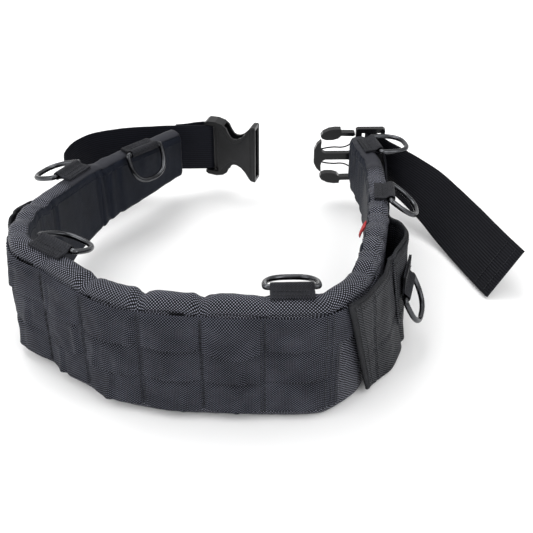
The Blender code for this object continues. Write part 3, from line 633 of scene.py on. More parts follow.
def pad_skin(name, body_nodes, side, mat):
    """The outer cover (side +1) or the inner liner (side -1), from the top seam to the bottom one."""
    s = np.linspace(0.0, LENGTH, 640)
    seam_top = 0.86 if side > 0 else 0.84
    edge = np.linspace(0, 1, 15)
    rows = []
    for station in s:
        high, low = float(pad_high(station)), float(pad_low(station))
        drop = float(pinch(station))
        high -= drop
        half = PAD_FACE - 0.0003
        start = math.pi / 2 - seam_top
        if side > 0:
            top = start + (math.pi - start) * edge
            bottom = math.pi + (math.pi / 2 + 0.5) * edge
        else:
            top = start * (1 - edge)
            bottom = -(math.pi / 2 - 0.5) * edge
        xt, zt = pad_profile(station, top, high, low, half)
        xb, zb = pad_profile(station, bottom, high, low, half)
        wall = np.linspace(0, 1, 26)[1:-1]
        xw = np.full(len(wall), xt[-1])
        zw = zt[-1] + (zb[0] - zt[-1]) * wall
        x = np.concatenate([xt, xw, xb])
        z = np.concatenate([zt, zw, zb])
        p = at_offset(np.full(len(x), station), x)
        rows.append(np.column_stack([p, z]))
    points = np.array(rows)
    normal = facing(points, 320, 25, s[320], side)
    count = points.shape[1]
    down = np.linalg.norm(np.diff(points, axis=1), axis=2)
    v = np.concatenate([np.zeros((len(s), 1)), np.cumsum(down, axis=1)], axis=1)
    height = (points[..., 2] - points[..., 2].min(axis=1, keepdims=True))
    height /= height.max(axis=1, keepdims=True)
    lift = 0.0007 * ripple(points, 0.024, 1) + 0.00035 * ripple(points, 0.008, 2)
    station_grid = np.repeat(s[:, None], count, axis=1)
    if side > 0:
        for place, depth, width in NOTCHES:
            near = bump(station_grid, place, width * 3.2)
            fan = np.sin((station_grid - place) / (0.0036 + 0.006 * (1 - height)))
            pucker = np.where(station_grid > 0.66, 0.0015, 0.0010) * (depth / 0.003)
            lift += near * fan * pucker * np.clip((height - 0.88) / 0.08, 0, 1)
            lift -= bump(station_grid, place, width * 0.45) * depth * 0.34 * np.clip((height - 0.90) / 0.06, 0, 1)
        crest = np.clip((station_grid - 0.66) / 0.02, 0, 1) * np.clip((0.93 - station_grid) / 0.02, 0, 1)
        lift -= 0.0016 * crest * bump(v, 0.0125 + 0.0015 * ripple(points, 0.02, 4), 0.0011)
        lift += 0.0012 * np.clip((0.16 - height) / 0.16, 0, 1) * (0.7 + 0.5 * ripple(points, 0.03, 3))
    else:
        folds = [(0.905, 0.0022, 0.0055), (0.925, 0.0018, 0.004), (0.944, 0.0022, 0.005), (0.886, 0.0014, 0.005),
                 (0.108, 0.0020, 0.0050), (0.122, 0.0018, 0.0035), (0.090, 0.0010, 0.006), (0.205, 0.0014, 0.006),
                 (0.238, 0.0012, 0.006), (0.300, 0.0016, 0.007), (0.560, 0.0014, 0.008), (0.700, 0.0016, 0.006)]
        for place, depth, width in folds:
            wander = place + 0.006 * (height - 0.5) + 0.002 * ripple(points, 0.03, 5)
            lift += depth * (0.5 * bump(station_grid, wander, width)
                             - 0.8 * bump(station_grid, wander + width, width * 0.5))
        lift -= 0.0006
    points = points + normal * lift[..., None]
    uvs = np.stack([station_grid, v], axis=-1)
    obj = grid_object(name, points, uvs, mat, "pad", 0.0009)
    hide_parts(*body_nodes)
    return points, normal, s


def end_caps(points_cover, points_liner):
    """Fabric that closes the pad's two ends."""
    parts = []
    for index, sign in ((0, -1), (-1, 1)):
        loop = np.vstack([points_cover[index], points_liner[index][::-1]])
        s = 0.0 if index == 0 else LENGTH
        heading = tangent(np.array(s))
        push = np.array([heading[0], heading[1], 0.0]) * sign
        middle = loop.mean(axis=0)
        rings = []
        for share, out in ((1.0, 0.0), (0.96, 0.0011), (0.82, 0.0019), (0.5, 0.0024), (0.2, 0.0026)):
            rings.append(middle + (loop - middle) * share + push * out)
        rings = np.array(rings)
        n = rings.shape[1]
        verts = list(rings.reshape(-1, 3)) + [middle + push * 0.0026]
        faces = []
        for i in range(len(rings) - 1):
            for j in range(n):
                k = (j + 1) % n
                quad = (i * n + j, i * n + k, (i + 1) * n + k, (i + 1) * n + j)
                faces.append(quad if sign > 0 else quad[::-1])
        last = (len(rings) - 1) * n
        for j in range(n):
            k = (j + 1) % n
            tri = (last + j, last + k, len(verts) - 1)
            faces.append(tri if sign > 0 else tri[::-1])
        uvs = [(float(p[2]), float(p[0] + p[1])) for p in verts]
        parts.append((verts, faces, uvs))
    return join_meshes("pad_end_caps", parts, BALLISTIC, "pad")


# ---------------------------------------------------------------- tool loop rows
def row_sheet(index, name, end):
    """One row of loop webbing, sewn down at the columns and standing off between them."""
    top = ROW_TOP - index * ROW_PITCH
    s = np.arange(ROW_START, end + 0.0005, 0.0012)
    v = np.linspace(0, 1, 30)
    grid_s, grid_v = np.meshgrid(s, v, indexing="ij")
    phase = (grid_s - COLUMNS[0]) / STITCH_PITCH
    inside = (phase > 0) & (phase < CELLS)
    cell = np.clip(np.floor(phase).astype(int), 0, CELLS - 1)
    share = np.clip(phase - cell, 0, 1)
    bulge = np.array([[0.0020, 0.0034, 0.0026, 0.0030, 0.0046, 0.0016],
                      [0.0016, 0.0024, 0.0030, 0.0022, 0.0018, 0.0014],
                      [0.0018, 0.0022, 0.0020, 0.0026, 0.0016, 0.0012]])[index]
    arch = np.sin(math.pi * share) ** 0.75
    belly = np.clip((1 - grid_v) / 0.30, 0.10, 1) ** 0.7
    hang = 1.0 + 0.75 * (1 - grid_v) ** 2 * np.array([1.0, 1.7, 1.3, 1.4, 2.1, 0.8])[cell]
    out = np.where(inside, bulge[cell] * arch * belly * hang, 0.0)
    flat_points = np.stack([grid_s, grid_v * 0.034, np.full_like(grid_s, index * 0.31)], axis=-1)
    out += 0.0013 * ripple(flat_points, 0.018, 11 + index) * arch * inside
    pleats = [[(0, 0.30, 0.0018, 0.05), (1, 0.15, 0.0016, -0.05), (2, 0.86, 0.0030, 0.05), (3, 0.10, 0.0012, 0.0),
               (4, 0.08, 0.0014, 0.04), (4, 0.92, 0.0012, -0.03), (5, 0.55, 0.0006, 0.0)],
              [(0, 0.55, 0.0016, 0.06), (1, 0.80, 0.0024, -0.07), (2, 0.25, 0.0018, 0.03), (2, 0.66, 0.0020, 0.06),
               (3, 0.40, 0.0014, -0.05), (4, 0.62, 0.0020, -0.03)],
              [(0, 0.30, 0.0012, 0.04), (1, 0.35, 0.0018, -0.05), (2, 0.45, 0.0020, 0.06), (3, 0.70, 0.0016, 0.03),
               (4, 0.55, 0.0014, -0.03)]][index]
    for which, place, height, slant in pleats:
        middle = COLUMNS[0] + STITCH_PITCH * (which + place) + (grid_v - 0.5) * slant * STITCH_PITCH
        out += height * (bump(grid_s, middle, 0.0032) - 0.45 * bump(grid_s, middle + 0.005, 0.0026)) \
            * (0.55 + 0.45 * (1 - grid_v)) * np.clip((1 - grid_v) / 0.2, 0.2, 1)
    for column in COLUMNS:
        out -= 0.0007 * bump(grid_s, column, 0.0016)
    out += 0.0006 * ripple(flat_points, 0.008, 15 + index) * inside
    out = np.maximum(out, -0.0004) * np.clip((1 - grid_v) / 0.22, 0, 1) ** 0.8
    out -= 0.0008 * np.clip((grid_v - 0.82) / 0.14, 0, 1)
    sag = np.where(inside, arch * np.array([[0.0004, 0.0012, 0.0006, 0.0010, 0.0042, 0.0003],
                                            [0.0006, 0.0012, 0.0012, 0.0006, 0.0010, 0.0003],
                                            [0.0, 0.0, 0.0, 0.0, 0.0, 0.0]])[index][cell], 0.0)
    z = top - ROW_HEIGHT * (1 - grid_v) - sag * (1 - grid_v) - 0.0006 * arch * inside * grid_v
    base = PAD_FACE + 0.0010 + ROW_THICKNESS / 2 + (0.0003 if index == 0 else 0.0)
    p = at_offset(grid_s, base + out)
    points = np.concatenate([p, z[..., None]], axis=-1)
    uvs = np.stack([grid_s, grid_v * ROW_HEIGHT], axis=-1)
    obj = grid_object(f"{name}_webbing", points, uvs, LOOPWEB, "pad", ROW_THICKNESS)
    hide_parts(name)
    normal = facing(points, 10, 10, s[10])
    for k, column in enumerate(COLUMNS):
        for shift in ((-0.0016, 0.0016) if k < CELLS else (-0.0024, 0.0026)):
            if column + shift > end:
                continue
            i = int(round((column + shift - ROW_START) / 0.0012))
            sew(points, normal, i, ROW_THICKNESS / 2, 0.0024, 0.0008, 0.00036)
    if index:
        i = len(s) - 3
        sew(points, normal, i, ROW_THICKNESS / 2, 0.0024, 0.0008, 0.00036)
    return points, normal


# ---------------------------------------------------------------- side sleeves
def sleeve_grid(table, s, share):
    """Points of a sleeve's middle surface: share 0 is the lower edge and 1 the upper edge."""
    station = s if s.ndim == 2 else np.repeat(s[:, None], len(share), axis=1)
    read = [np.interp(station, table[:, 0], table[:, k]) for k in range(1, 5)]
    offset = read[0] * (1 - share) + read[1] * share
    z = read[2] * (1 - share) + read[3] * share
    p = at_offset(station, offset)
    return np.concatenate([p, z[..., None]], axis=-1), station


def smooth_rows(table, pinned):
    """A sleeve's table rounded off, with its offset held to the pad at the pinned ends."""
    dense = np.linspace(table[0, 0], table[-1, 0], 61)
    cols = [np.interp(dense, table[:, 0], table[:, k]) for k in range(1, 5)]
    kernel = np.array([1, 2, 3, 4, 3, 2, 1], float)
    kernel /= kernel.sum()
    out = [dense]
    for c in cols:
        padded = np.concatenate([np.full(3, c[0]), c, np.full(3, c[-1])])
        out.append(np.convolve(padded, kernel, "valid"))
    for end, width in pinned:
        hold = np.clip(1 - np.abs(dense - end) / width, 0, 1) ** 0.7
        for k in (1, 2):
            out[k] = out[k] * (1 - hold) + PAD_FACE * hold
    return np.stack(out, axis=1)


def build_right_sleeve():
    table = smooth_rows(RIGHT_SLEEVE, [(SLEEVE_END, 0.014)])
    share = np.linspace(0, 1, 76)
    front = (0.645 - 0.026 * share)[None, :]
    s = front + (SLEEVE_END - front) * np.linspace(0, 1, 130)[:, None]
    points, station = sleeve_grid(table, s, share)
    normal = facing(points, 65, 30, s[65, 30])
    v = np.repeat(share[None, :], len(s), axis=0)
    lift = 0.0010 * ripple(points, 0.022, 21) + 0.0005 * ripple(points, 0.009, 22)
    seam = 0.646 + 0.014 * (1 - v)
    lift -= 0.0009 * bump(station, seam, 0.0016)
    lift += 0.0016 * bump(station, seam + 0.018 + 0.01 * v, 0.010)
    fold = 0.712 - 0.016 * v
    lift -= 0.0018 * bump(station, fold, 0.0030)
    lift += 0.0012 * bump(station, fold + 0.007, 0.005)
    lift -= 0.0012 * bump(v, 0.36 + (station - 0.66) * 1.6, 0.03) * (station < 0.712)
    lift *= np.clip((station - 0.640) / 0.012, 0.1, 1) * np.clip((0.786 - station) / 0.012, 0.1, 1)
    points = points + normal * lift[..., None]
    uvs = np.stack([station, v * 0.11], axis=-1)
    obj = grid_object("side_sleeve_right_fabric", points, uvs, SLEEVEWEB, "pad", 0.0014)
    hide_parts("side_sleeve_right")
    edge = binding("sleeve_right_top_binding", points[:, -6:], normal[:, -6:], "pad", 0.0014)
    front = binding("sleeve_right_front_binding", points[4::-1].transpose(1, 0, 2), normal[4::-1].transpose(1, 0, 2),
                    "pad", 0.0015)
    for row in (-3, -8):
        sew(points, normal, np.s_[4:-4, row], 0.0017)
    for col in (3, 7):
        sew(points, normal, np.s_[col, 2:-2], 0.0016)
    index = np.argmin(np.abs(s - (0.650 + 0.012 * (1 - share))), axis=0)
    line = np.array([points[i, j] + normal[i, j] * 0.0008 for j, i in enumerate(index)])
    stitch("pad", line, np.array([normal[i, j] for j, i in enumerate(index)]))
    # the pocket sewn on over the sleeve's rear half
    ps = np.linspace(0.700, 0.776, 60)
    pshare = np.linspace(0.30, 0.965, 46)
    pocket, pstation = sleeve_grid(table, ps, pshare)
    pn = facing(pocket, 30, 20, ps[30])
    a = (pstation - 0.700) / 0.076
    b = np.repeat(((pshare - 0.30) / 0.665)[None, :], len(ps), axis=0)
    rim = np.clip(np.minimum(np.minimum(a, 1 - a) * 9, b * 9), 0, 1)
    puff = 0.0011 + 0.0010 * rim * (0.6 + 0.4 * np.sin(math.pi * a)) + 0.0003 * ripple(pocket, 0.014, 25)
    pocket = pocket + pn * puff[..., None]
    pob = grid_object("sleeve_right_pocket", pocket, np.stack([pstation, b * 0.073], axis=-1), SLEEVEWEB, "pad",
                      0.0013)
    for row in (2, 5):
        sew(pocket, pn, np.s_[3:-3, row], 0.0008)
    sew(pocket, pn, np.s_[3, 2:-2], 0.0008)
    sew(pocket, pn, np.s_[3:-3, -4], 0.0008)
    binding("sleeve_pocket_binding", pocket[:, -6:], pn[:, -6:], "pad", 0.0012)


def binding(name, points, normal, body, proud):
    """Folded tape over an edge strip of a sheet: it stands proud on both faces."""
    rows, cols = points.shape[:2]
    base = points
    n = normal
    around = []
    for j in range(cols):
        around.append(base[:, j] + n[:, j] * proud * min(1.0, 0.55 + 0.45 * j / 2))
    tip = base[:, -1] + (base[:, -1] - base[:, -2]) * 0.8
    around.append(tip + n[:, -1] * proud * 0.55)
    around.append(tip - n[:, -1] * proud * 0.55)
    for j in reversed(range(cols)):
        around.append(base[:, j] - n[:, j] * proud * min(1.0, 0.55 + 0.45 * j / 2))
    grid = np.stack(around, axis=1)
    uvs = sheet_coordinates(distances(grid[:, 0]), distances(grid[rows // 2]))
    return grid_object(name, grid, uvs, BINDING, body, 0.0, closed=True)


def build_left_sleeve():
    table = smooth_rows(LEFT_SLEEVE, [(0.200, 0.012), (0.276, 0.008)])
    s = np.linspace(0.200, 0.276, 64)
    share = np.linspace(0, 1, 70)
    points, station = sleeve_grid(table, s, share)
    normal = normals_of(points)
    if normal[30, 30, :2] @ outward(s[30]) < 0:
        normal = -normal
    v = np.repeat(share[None, :], len(s), axis=0)
    lift = 0.0010 * ripple(points, 0.020, 31) + 0.0004 * ripple(points, 0.008, 32)
    lift -= 0.0012 * bump(station, 0.238 + 0.006 * v, 0.003)
    lift *= np.clip((station - 0.202) / 0.01, 0.1, 1) * np.clip((0.274 - station) / 0.01, 0.1, 1)
    points = points + normal * lift[..., None]
    obj = grid_object("side_sleeve_left_fabric", points, np.stack([station, v * 0.10], axis=-1), SLEEVEWEB, "pad",
                      0.0014)
    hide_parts("side_sleeve_left")
    edge = binding("sleeve_left_top_binding", points[:, -8:], normal[:, -8:], "pad", 0.0015)
    for row in (-3, -7):
        sew(points, normal, np.s_[3:-3, row], 0.0016)
    for col in (3, 6, -4):
        sew(points, normal, np.s_[col, 2:-2], 0.0008)


# ---------------------------------------------------------------- webbing
def band_faces(rows, cols):
    """Faces of a closed band whose section runs out along one side and back along the other."""
    faces = []
    for i in range(rows - 1):
        for j in range(cols):
            k = (j + 1) % cols
            faces.append((i * cols + j, (i + 1) * cols + j, (i + 1) * cols + k, i * cols + k))
    for base in (0, (rows - 1) * cols):
        for j in range(cols // 2 - 1):
            quad = (base + j, base + j + 1, base + cols - 2 - j, base + cols - 1 - j)
            faces.append(quad[::-1] if base == 0 else quad)
    return faces


def strap_object(name, path, mat, body, width=STRAP_WIDTH, thickness=STRAP_THICKNESS, ribs=21, relief=0.00016,
                 wave_height=0.0, seed=0, step=0.0017, spread=0.0):
    """Ribbed webbing: path rows are x, y, z, lean x, lean y; its section is a thin ribbed band."""
    path, along = resample(np.asarray(path, float), step)
    middle = path[:, :3]
    up = np.column_stack([path[:, 3], path[:, 4], np.ones(len(path))])
    up /= np.linalg.norm(up, axis=1, keepdims=True)
    ahead = np.gradient(middle, axis=0)
    ahead /= np.maximum(np.linalg.norm(ahead, axis=1, keepdims=True), 1e-12)
    side = np.cross(ahead, up)
    side /= np.linalg.norm(side, axis=1, keepdims=True)
    count = ribs * 4
    across = np.linspace(-0.5, 0.5, count + 1)
    ridge = 0.5 + 0.5 * np.cos(2 * math.pi * ribs * (across + 0.5) + math.pi)
    wider = spread * np.clip((along - 0.06) / 0.10, 0, 1)
    taper = np.clip((0.5 - np.abs(across)) / 0.012, 0, 1) ** 0.5
    half = thickness / 2 * (0.55 + 0.45 * taper) + relief * (ridge - 0.5) * taper
    flutter = np.array([noise.noise(Vector((a * 28, seed * 3.3, 0.0))) for a in along])
    edge_wave = np.array([noise.noise(Vector((a * 55, seed * 1.7, 4.0))) for a in along])
    fade = np.clip((np.minimum(along, along[-1] - along) - 0.05) / 0.05, 0, 1)
    ring = []
    for sign, order in ((1, range(count + 1)), (-1, range(count, -1, -1))):
        for j in order:
            q = across[j]
            bend = wave_height * fade * (flutter * 0.6 + edge_wave * (2 * abs(q)) ** 3 * np.sign(q))
            ring.append(middle + up * (q * width + wider * (q + 0.5))[:, None]
                        + side * (sign * half[j] + bend)[:, None])
    grid = np.stack(ring, axis=1)
    v = np.concatenate([across * width, across[::-1] * width + width * 1.1])
    uvs = sheet_coordinates(along, v)
    faces = [face[::-1] for face in band_faces(*grid.shape[:2])]
    obj = make_object(name, grid.reshape(-1, 3), faces, uvs.reshape(-1, 2), mat, body)
    return obj, middle, up, side, along


def bar_loop(bar, heading, start, end, count, radius=BAR_LOOP):
    angles = heading + np.linspace(start, end, count + 1)
    return np.stack([bar[0] + radius * np.cos(angles), bar[1] + radius * np.sin(angles)], axis=1)


def upright(plan):
    """Strap path whose webbing stands on its edge."""
    plan = np.asarray(plan, float)
    zeros = np.zeros((len(plan), 1))
    return np.hstack([plan, zeros + STRAP_HEIGHT, zeros, zeros])


def shifted(points):
    return [np.array(p) - PLAN_ORIGIN for p in points]


def build_straps():
    """The two sewn straps round their buckle bars, and the free tail."""
    bar = FEMALE_BAR - PLAN_ORIGIN
    sewn = at_offset(np.linspace(LEFT_SEWN[1], LEFT_SEWN[0], 24), np.full(24, STRAP_SEWN + 0.0004))
    loop = bar_loop(bar, FEMALE_HEADING, math.radians(-80), math.radians(100), 10)
    free = spline([sewn[-1]] + shifted(LEFT_FREE) + [loop[0]], 10)
    back = spline([loop[-1]] + shifted(LEFT_RETURN), 8)
    route = np.vstack([sewn[:-1], free[:-1], loop, back[1:]])
    obj, middle, up, side, along = strap_object("belt_webbing_left_band", upright(route), BELTWEB, "pad",
                                                thickness=0.0019, relief=0.00012, wave_height=0.0007, seed=1,
                                                step=0.0010)
    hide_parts("belt_webbing_left")
    near = along > along[-1] - 0.024
    picks = np.where(near)[0]
    if len(picks) > 4:
        for place in (picks[2], picks[-4]):
            line = np.array([middle[place] + up[place] * STRAP_WIDTH * q for q in np.linspace(-0.46, 0.46, 24)])
            n = np.tile(side[place], (24, 1))
            stitch("pad", line + n * (STRAP_THICKNESS / 2 + 0.0001), n)
            stitch("pad", line - n * (STRAP_THICKNESS / 2 + 0.0001), -n)

    bar = MALE_BAR - PLAN_ORIGIN
    sewn = at_offset(np.linspace(*RIGHT_SEWN, 22), np.full(22, STRAP_SEWN + 0.0004))
    loop = bar_loop(bar, 0.0, math.radians(216), math.radians(131), 8)
    free = spline([sewn[-1]] + shifted(RIGHT_FREE) + [loop[0]], 10)
    route = np.vstack([sewn[:-1], free[:-1], loop])
    obj = strap_object("belt_webbing_right_band", upright(route), BELTWEB, "pad", wave_height=0.0005, seed=2)[0]
    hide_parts("belt_webbing_right")

    loop = upright(bar_loop(bar, 0.0, math.radians(121), math.radians(40), 8))
    free = [np.array([*(np.array(p[:2]) - PLAN_ORIGIN), p[2], *lean]) for p, lean in TAIL]
    curve = spline([loop[-1]] + free, 10)
    route = np.vstack([loop[:-1], curve])
    obj, middle, up, side, along = strap_object("strap_tail_band", route, TAILWEB, "strap_tail", ribs=21,
                                                relief=0.00034, wave_height=0.0006, seed=3, step=0.0015,
                                                spread=TAIL_SPREAD)
    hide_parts("strap_tail")
    build_hem(middle, up, side, along)


def build_hem(middle, up, side, along):
    """The tail's folded end, sewn down with two rows of stitches."""
    picks = np.where(along > along[-1] - HEM_LENGTH)[0]
    lift = STRAP_THICKNESS / 2 + 0.0010
    path = [np.concatenate([middle[i] - side[i] * lift + up[i] * 0.002, [up[i][0] / up[i][2], up[i][1] / up[i][2]]])
            for i in picks]
    path = np.array(path)
    obj = strap_object("tail_hem_band", path, TAILWEB, "strap_tail", width=STRAP_WIDTH + 0.0034, thickness=0.0017,
                       relief=0.00026, seed=4, step=0.0015)[0]
    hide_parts("tail_hem")
    tip = along[-1]
    angles = np.linspace(math.pi / 2, -math.pi / 2, 9)
    last = len(middle) - 1
    ahead = middle[last] - middle[last - 1]
    ahead /= np.linalg.norm(ahead)
    half = (STRAP_THICKNESS + 0.0017 + 0.0002) / 2
    centre_point = middle[last] - side[last] * (half - STRAP_THICKNESS / 2)
    fold = []
    for q in np.linspace(-0.497, 0.497, 43):
        row = [centre_point + up[last] * (STRAP_WIDTH * q + TAIL_SPREAD * (q + 0.5)) + side[last] * half * math.sin(a)
               + ahead * half * math.cos(a) for a in angles]
        fold.append(row)
    fold = np.array(fold)
    uvs = sheet_coordinates(np.linspace(0, STRAP_WIDTH, 43), np.linspace(0, 0.007, 9))
    uvs = uvs[..., ::-1].copy()
    grid_object("tail_fold", fold, uvs, TAILWEB, "strap_tail")
    for back in (0.006, 0.021):
        i = int(np.argmin(np.abs(along - (tip - back))))
        for sign, height in ((1, STRAP_THICKNESS / 2), (-1, lift + 0.00085)):
            n = side[i] * sign
            line = np.array([middle[i] + up[i] * (STRAP_WIDTH * q + TAIL_SPREAD * (q + 0.5)) + n * height
                             for q in np.linspace(-0.46, 0.46, 40)])
            stitch("strap_tail", line, np.tile(n, (40, 1)), 0.0026, 0.0010, 0.00042, 0.0002)


# ---------------------------------------------------------------- rings and tabs
def ring_frame(station, side):
    """Frame of a ring's bar on the pad's top edge: X along the bar, Y away from the edge."""
    reach = 0.015
    a, b = centre(station - reach), centre(station + reach)
    high = [float(np.interp(station + d, PAD_EDGES[:, 0], PAD_EDGES[:, 2])) for d in (-reach, 0.0, reach)]
    ahead = Vector((b[0] - a[0], b[1] - a[1], high[2] - high[0])).normalized()
    away = Vector((ahead.y, -ahead.x, 0.0)).normalized() * side
    x_axis = ahead * -side
    z_axis = x_axis.cross(away)
    matrix = Matrix((x_axis, away, z_axis)).transposed().to_4x4()
    plan = at_offset(np.array(station), np.array(BAR_OFFSET * side))
    matrix.translation = Vector((plan[0], plan[1], high[1] + BAR_RISE))
    return matrix


def side_ring_frame():
    """The seventh ring's bar, taken from its CAD node's hinge."""
    joint = next(j for j in frame["record"]["behaviour"]["joints"] if j["child"] == "d_ring_7")
    x_axis = Vector(joint["axis"]).normalized()
    up = Vector((0.0, 0.0, 1.0))
    away = up.cross(x_axis).normalized()
    matrix = Matrix((x_axis, away, x_axis.cross(away))).transposed().to_4x4()
    matrix.translation = Vector(joint["pos_m"])
    return matrix


def ring_outline():
    """Closed centre line of a D-ring's wire."""
    half = RING_WIDTH / 2 - RING_WIRE
    depth = RING_DEPTH - RING_WIRE
    c = RING_CORNER
    right = [(half - c, 0.0), (half - 0.3 * c, 0.3 * c), (half, c), (half, depth * 0.38), (half * 0.93, depth * 0.62),
             (half * 0.74, depth * 0.84), (half * 0.42, depth * 0.97), (0.0, depth)]
    left = [(-x, y) for x, y in reversed(right[:-1])]
    return closed_spline(right + left + [(-half * 0.5, 0.0), (0.0, 0.0), (half * 0.5, 0.0)], 10)


def build_ring(name, matrix, droop):
    turn = matrix @ Matrix.Rotation(-droop, 4, "X")
    path = [turn @ Vector((x, y, 0.0)) for x, y in ring_outline()]
    normal = turn.to_3x3() @ Vector((0.0, 0.0, 1.0))
    verts, faces, uvs = tube([tuple(p) for p in path], RING_WIRE, 20, closed=True, up=tuple(normal))
    obj = make_object(f"{name}_wire", verts, faces, uvs, NICKEL, name)
    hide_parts(name)


def build_tab(name, matrix, over_edge, seed):
    """Webbing folded round a ring's bar with both plies sewn down behind it."""
    radius = RING_WIRE + 0.0003 + TAB_PLY / 2
    if over_edge:
        floor = -BAR_RISE + 0.0006
        crown = [(-0.0165, -0.0002), (-0.0145, 0.0001), (-0.0120, 0.0002), (-0.0095, 0.0001), (-0.0070, -0.0001),
                 (-0.0042, -0.0010)]
        lower = [(y, floor + z + TAB_PLY * 0.5) for y, z in crown]
        upper = [(y, floor + z + TAB_PLY * 1.55) for y, z in reversed(crown[:-1])]
        upper = [(-0.0052, floor + TAB_PLY * 1.9)] + upper[1:]
        start, stop = -140, 118
    else:
        floor = -SIDE_BAR_RISE + 0.0006
        lower = [(-0.0245, floor + TAB_PLY * 0.5), (-0.0150, floor + TAB_PLY * 0.5),
                 (-0.0080, floor + TAB_PLY * 0.5), (-0.0030, floor + TAB_PLY * 0.7)]
        upper = [(-0.0062, floor + TAB_PLY * 1.9), (-0.0100, floor + TAB_PLY * 1.6),
                 (-0.0160, floor + TAB_PLY * 1.55), (-0.0245, floor + TAB_PLY * 1.5)]
        start, stop = -95, 122
    turn = [(radius * math.cos(math.radians(a)), radius * math.sin(math.radians(a)))
            for a in np.linspace(start, stop, 14)]
    path = spline(lower + turn + upper, 5)
    path, along = resample(path, 0.0007)
    d = np.gradient(path, axis=0)
    d /= np.linalg.norm(d, axis=1, keepdims=True)
    normal = np.column_stack([d[:, 1], -d[:, 0]])
    count = 26
    across = np.linspace(-0.5, 0.5, count)
    taper = np.clip((0.5 - np.abs(across)) / 0.02, 0, 1) ** 0.5
    half = TAB_PLY / 2 * (0.5 + 0.5 * taper)
    ring = []
    for sign, order in ((1, range(count)), (-1, range(count - 1, -1, -1))):
        for j in order:
            q = across[j]
            frayed = 0.0003 * np.array([noise.noise(Vector((a * 160, seed, q * 4))) for a in along])
            pinch_in = 1.0 - 0.03 * bump(along, along[-1] / 2, 0.006)
            yz = path + normal * (sign * half[j])
            x = q * TAB_WIDTH * pinch_in + frayed * (1 if q > 0 else -1) * (abs(q) > 0.4)
            ring.append(np.column_stack([x, yz[:, 0], yz[:, 1]]))
    local = np.stack(ring, axis=1)
    m = np.array(matrix)
    world = local @ m[:3, :3].T + m[:3, 3]
    v = np.concatenate([across * TAB_WIDTH, across[::-1] * TAB_WIDTH])
    uvs = sheet_coordinates(along, v)
    obj = make_object(f"{name}_webbing", world.reshape(-1, 3), band_faces(*world.shape[:2]), uvs.reshape(-1, 2),
                      TABWEB, "pad")
    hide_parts(name)
    rot = m[:3, :3]
    for y in (-0.0078, -0.0140):
        top_y = int(np.argmin(np.abs(path[len(path) // 2:, 0] - y))) + len(path) // 2
        line = np.array([[q * TAB_WIDTH, path[top_y, 0], path[top_y, 1] + TAB_PLY / 2]
                         for q in np.linspace(-0.44, 0.44, 20)])
        stitch("pad", line @ rot.T + m[:3, 3], np.tile(rot @ np.array([0.0, 0.0, 1.0]), (20, 1)), 0.0022, 0.0009)


def build_rings():
    for index, (name, station, side, droop) in enumerate(RINGS):
        matrix = ring_frame(station, side)
        build_ring(f"d_ring_{name}", matrix, math.radians(droop))
        build_tab(f"ring_tab_{name}", matrix, True, index + 1)
    matrix = side_ring_frame()
    build_ring("d_ring_7", matrix, math.radians(SIDE_RING[2]))
    build_tab("ring_tab_7", matrix @ Matrix.Rotation(math.radians(-90), 4, "X"), False, 9)


# ---------------------------------------------------------------- buckles
def plate(outlines, half, bevel, matrix):
    """Rounded plate from closed outlines in its XY plane, as (verts, faces, uvs) in the row frame."""
    curve = bpy.data.curves.new("outline", "CURVE")
    curve.dimensions = "2D"
    curve.fill_mode = "BOTH"
    curve.extrude = half - bevel
    curve.bevel_depth = bevel
    curve.bevel_resolution = 3
    curve.offset = -bevel
    for outline in outlines:
        line = curve.splines.new("POLY")
        line.points.add(len(outline) - 1)
        for point, (x, y) in zip(line.points, outline):
            point.co = (x, y, 0.0, 1.0)
        line.use_cyclic_u = True
    obj = bpy.data.objects.new("outline", curve)
    bpy.context.scene.collection.objects.link(obj)
    bpy.context.view_layer.update()
    mesh = bpy.data.meshes.new_from_object(obj.evaluated_get(bpy.context.evaluated_depsgraph_get()))
    bpy.data.objects.remove(obj, do_unlink=True)
    bpy.data.curves.remove(curve)
    bm = bmesh.new()
    bm.from_mesh(mesh)
    bmesh.ops.remove_doubles(bm, verts=bm.verts, dist=0.00001)
    bmesh.ops.recalc_face_normals(bm, faces=bm.faces)
    bm.verts.index_update()
    verts = [matrix @ v.co for v in bm.verts]
    uvs = [(v.co.x, v.co.y) for v in bm.verts]
    faces = [tuple(v.index for v in f.verts) for f in bm.faces]
    bm.free()
    bpy.data.meshes.remove(mesh)
    return verts, faces, uvs


def mirrored(half_outline):
    return half_outline + [(x, -y) for x, y in reversed(half_outline)]


def rectangle(x0, x1, half, corner=0.0012):
    pts = []
    for cx, cy, a0 in ((x1 - corner, -half + corner, -90), (x1 - corner, half - corner, 0),
                       (x0 + corner, half - corner, 90), (x0 + corner, -half + corner, 180)):
        for k in range(5):
            a = math.radians(a0 + 22.5 * k)
            pts.append((cx + corner * math.cos(a), cy + corner * math.sin(a)))
    return pts


def plan_frame(origin, heading):
    """Buckle frame: X along the buckle, Y up."""
    x_axis = Vector((math.cos(heading), math.sin(heading), 0.0))
    y_axis = Vector((0.0, 0.0, 1.0))
    matrix = Matrix((x_axis, y_axis, x_axis.cross(y_axis))).transposed().to_4x4()
    matrix.translation = Vector((origin[0], origin[1], STRAP_HEIGHT))
    return matrix


def soften(obj, width, segments=3):
    """Rounds a carried-over CAD node's edges."""
    bevel = obj.modifiers.new("rounded", "BEVEL")
    bevel.width = width
    bevel.segments = segments
    bevel.limit_method = "ANGLE"
    bevel.angle_limit = math.radians(32)
    bevel.harden_normals = False


def dress_node(name, mat):
    """Gives a carried-over CAD node its finished material."""
    obj = frame["nodes"][name]
    if not obj.material_slots:
        obj.data.materials.append(mat)
    for slot in obj.material_slots:
        slot.material = mat
    return obj


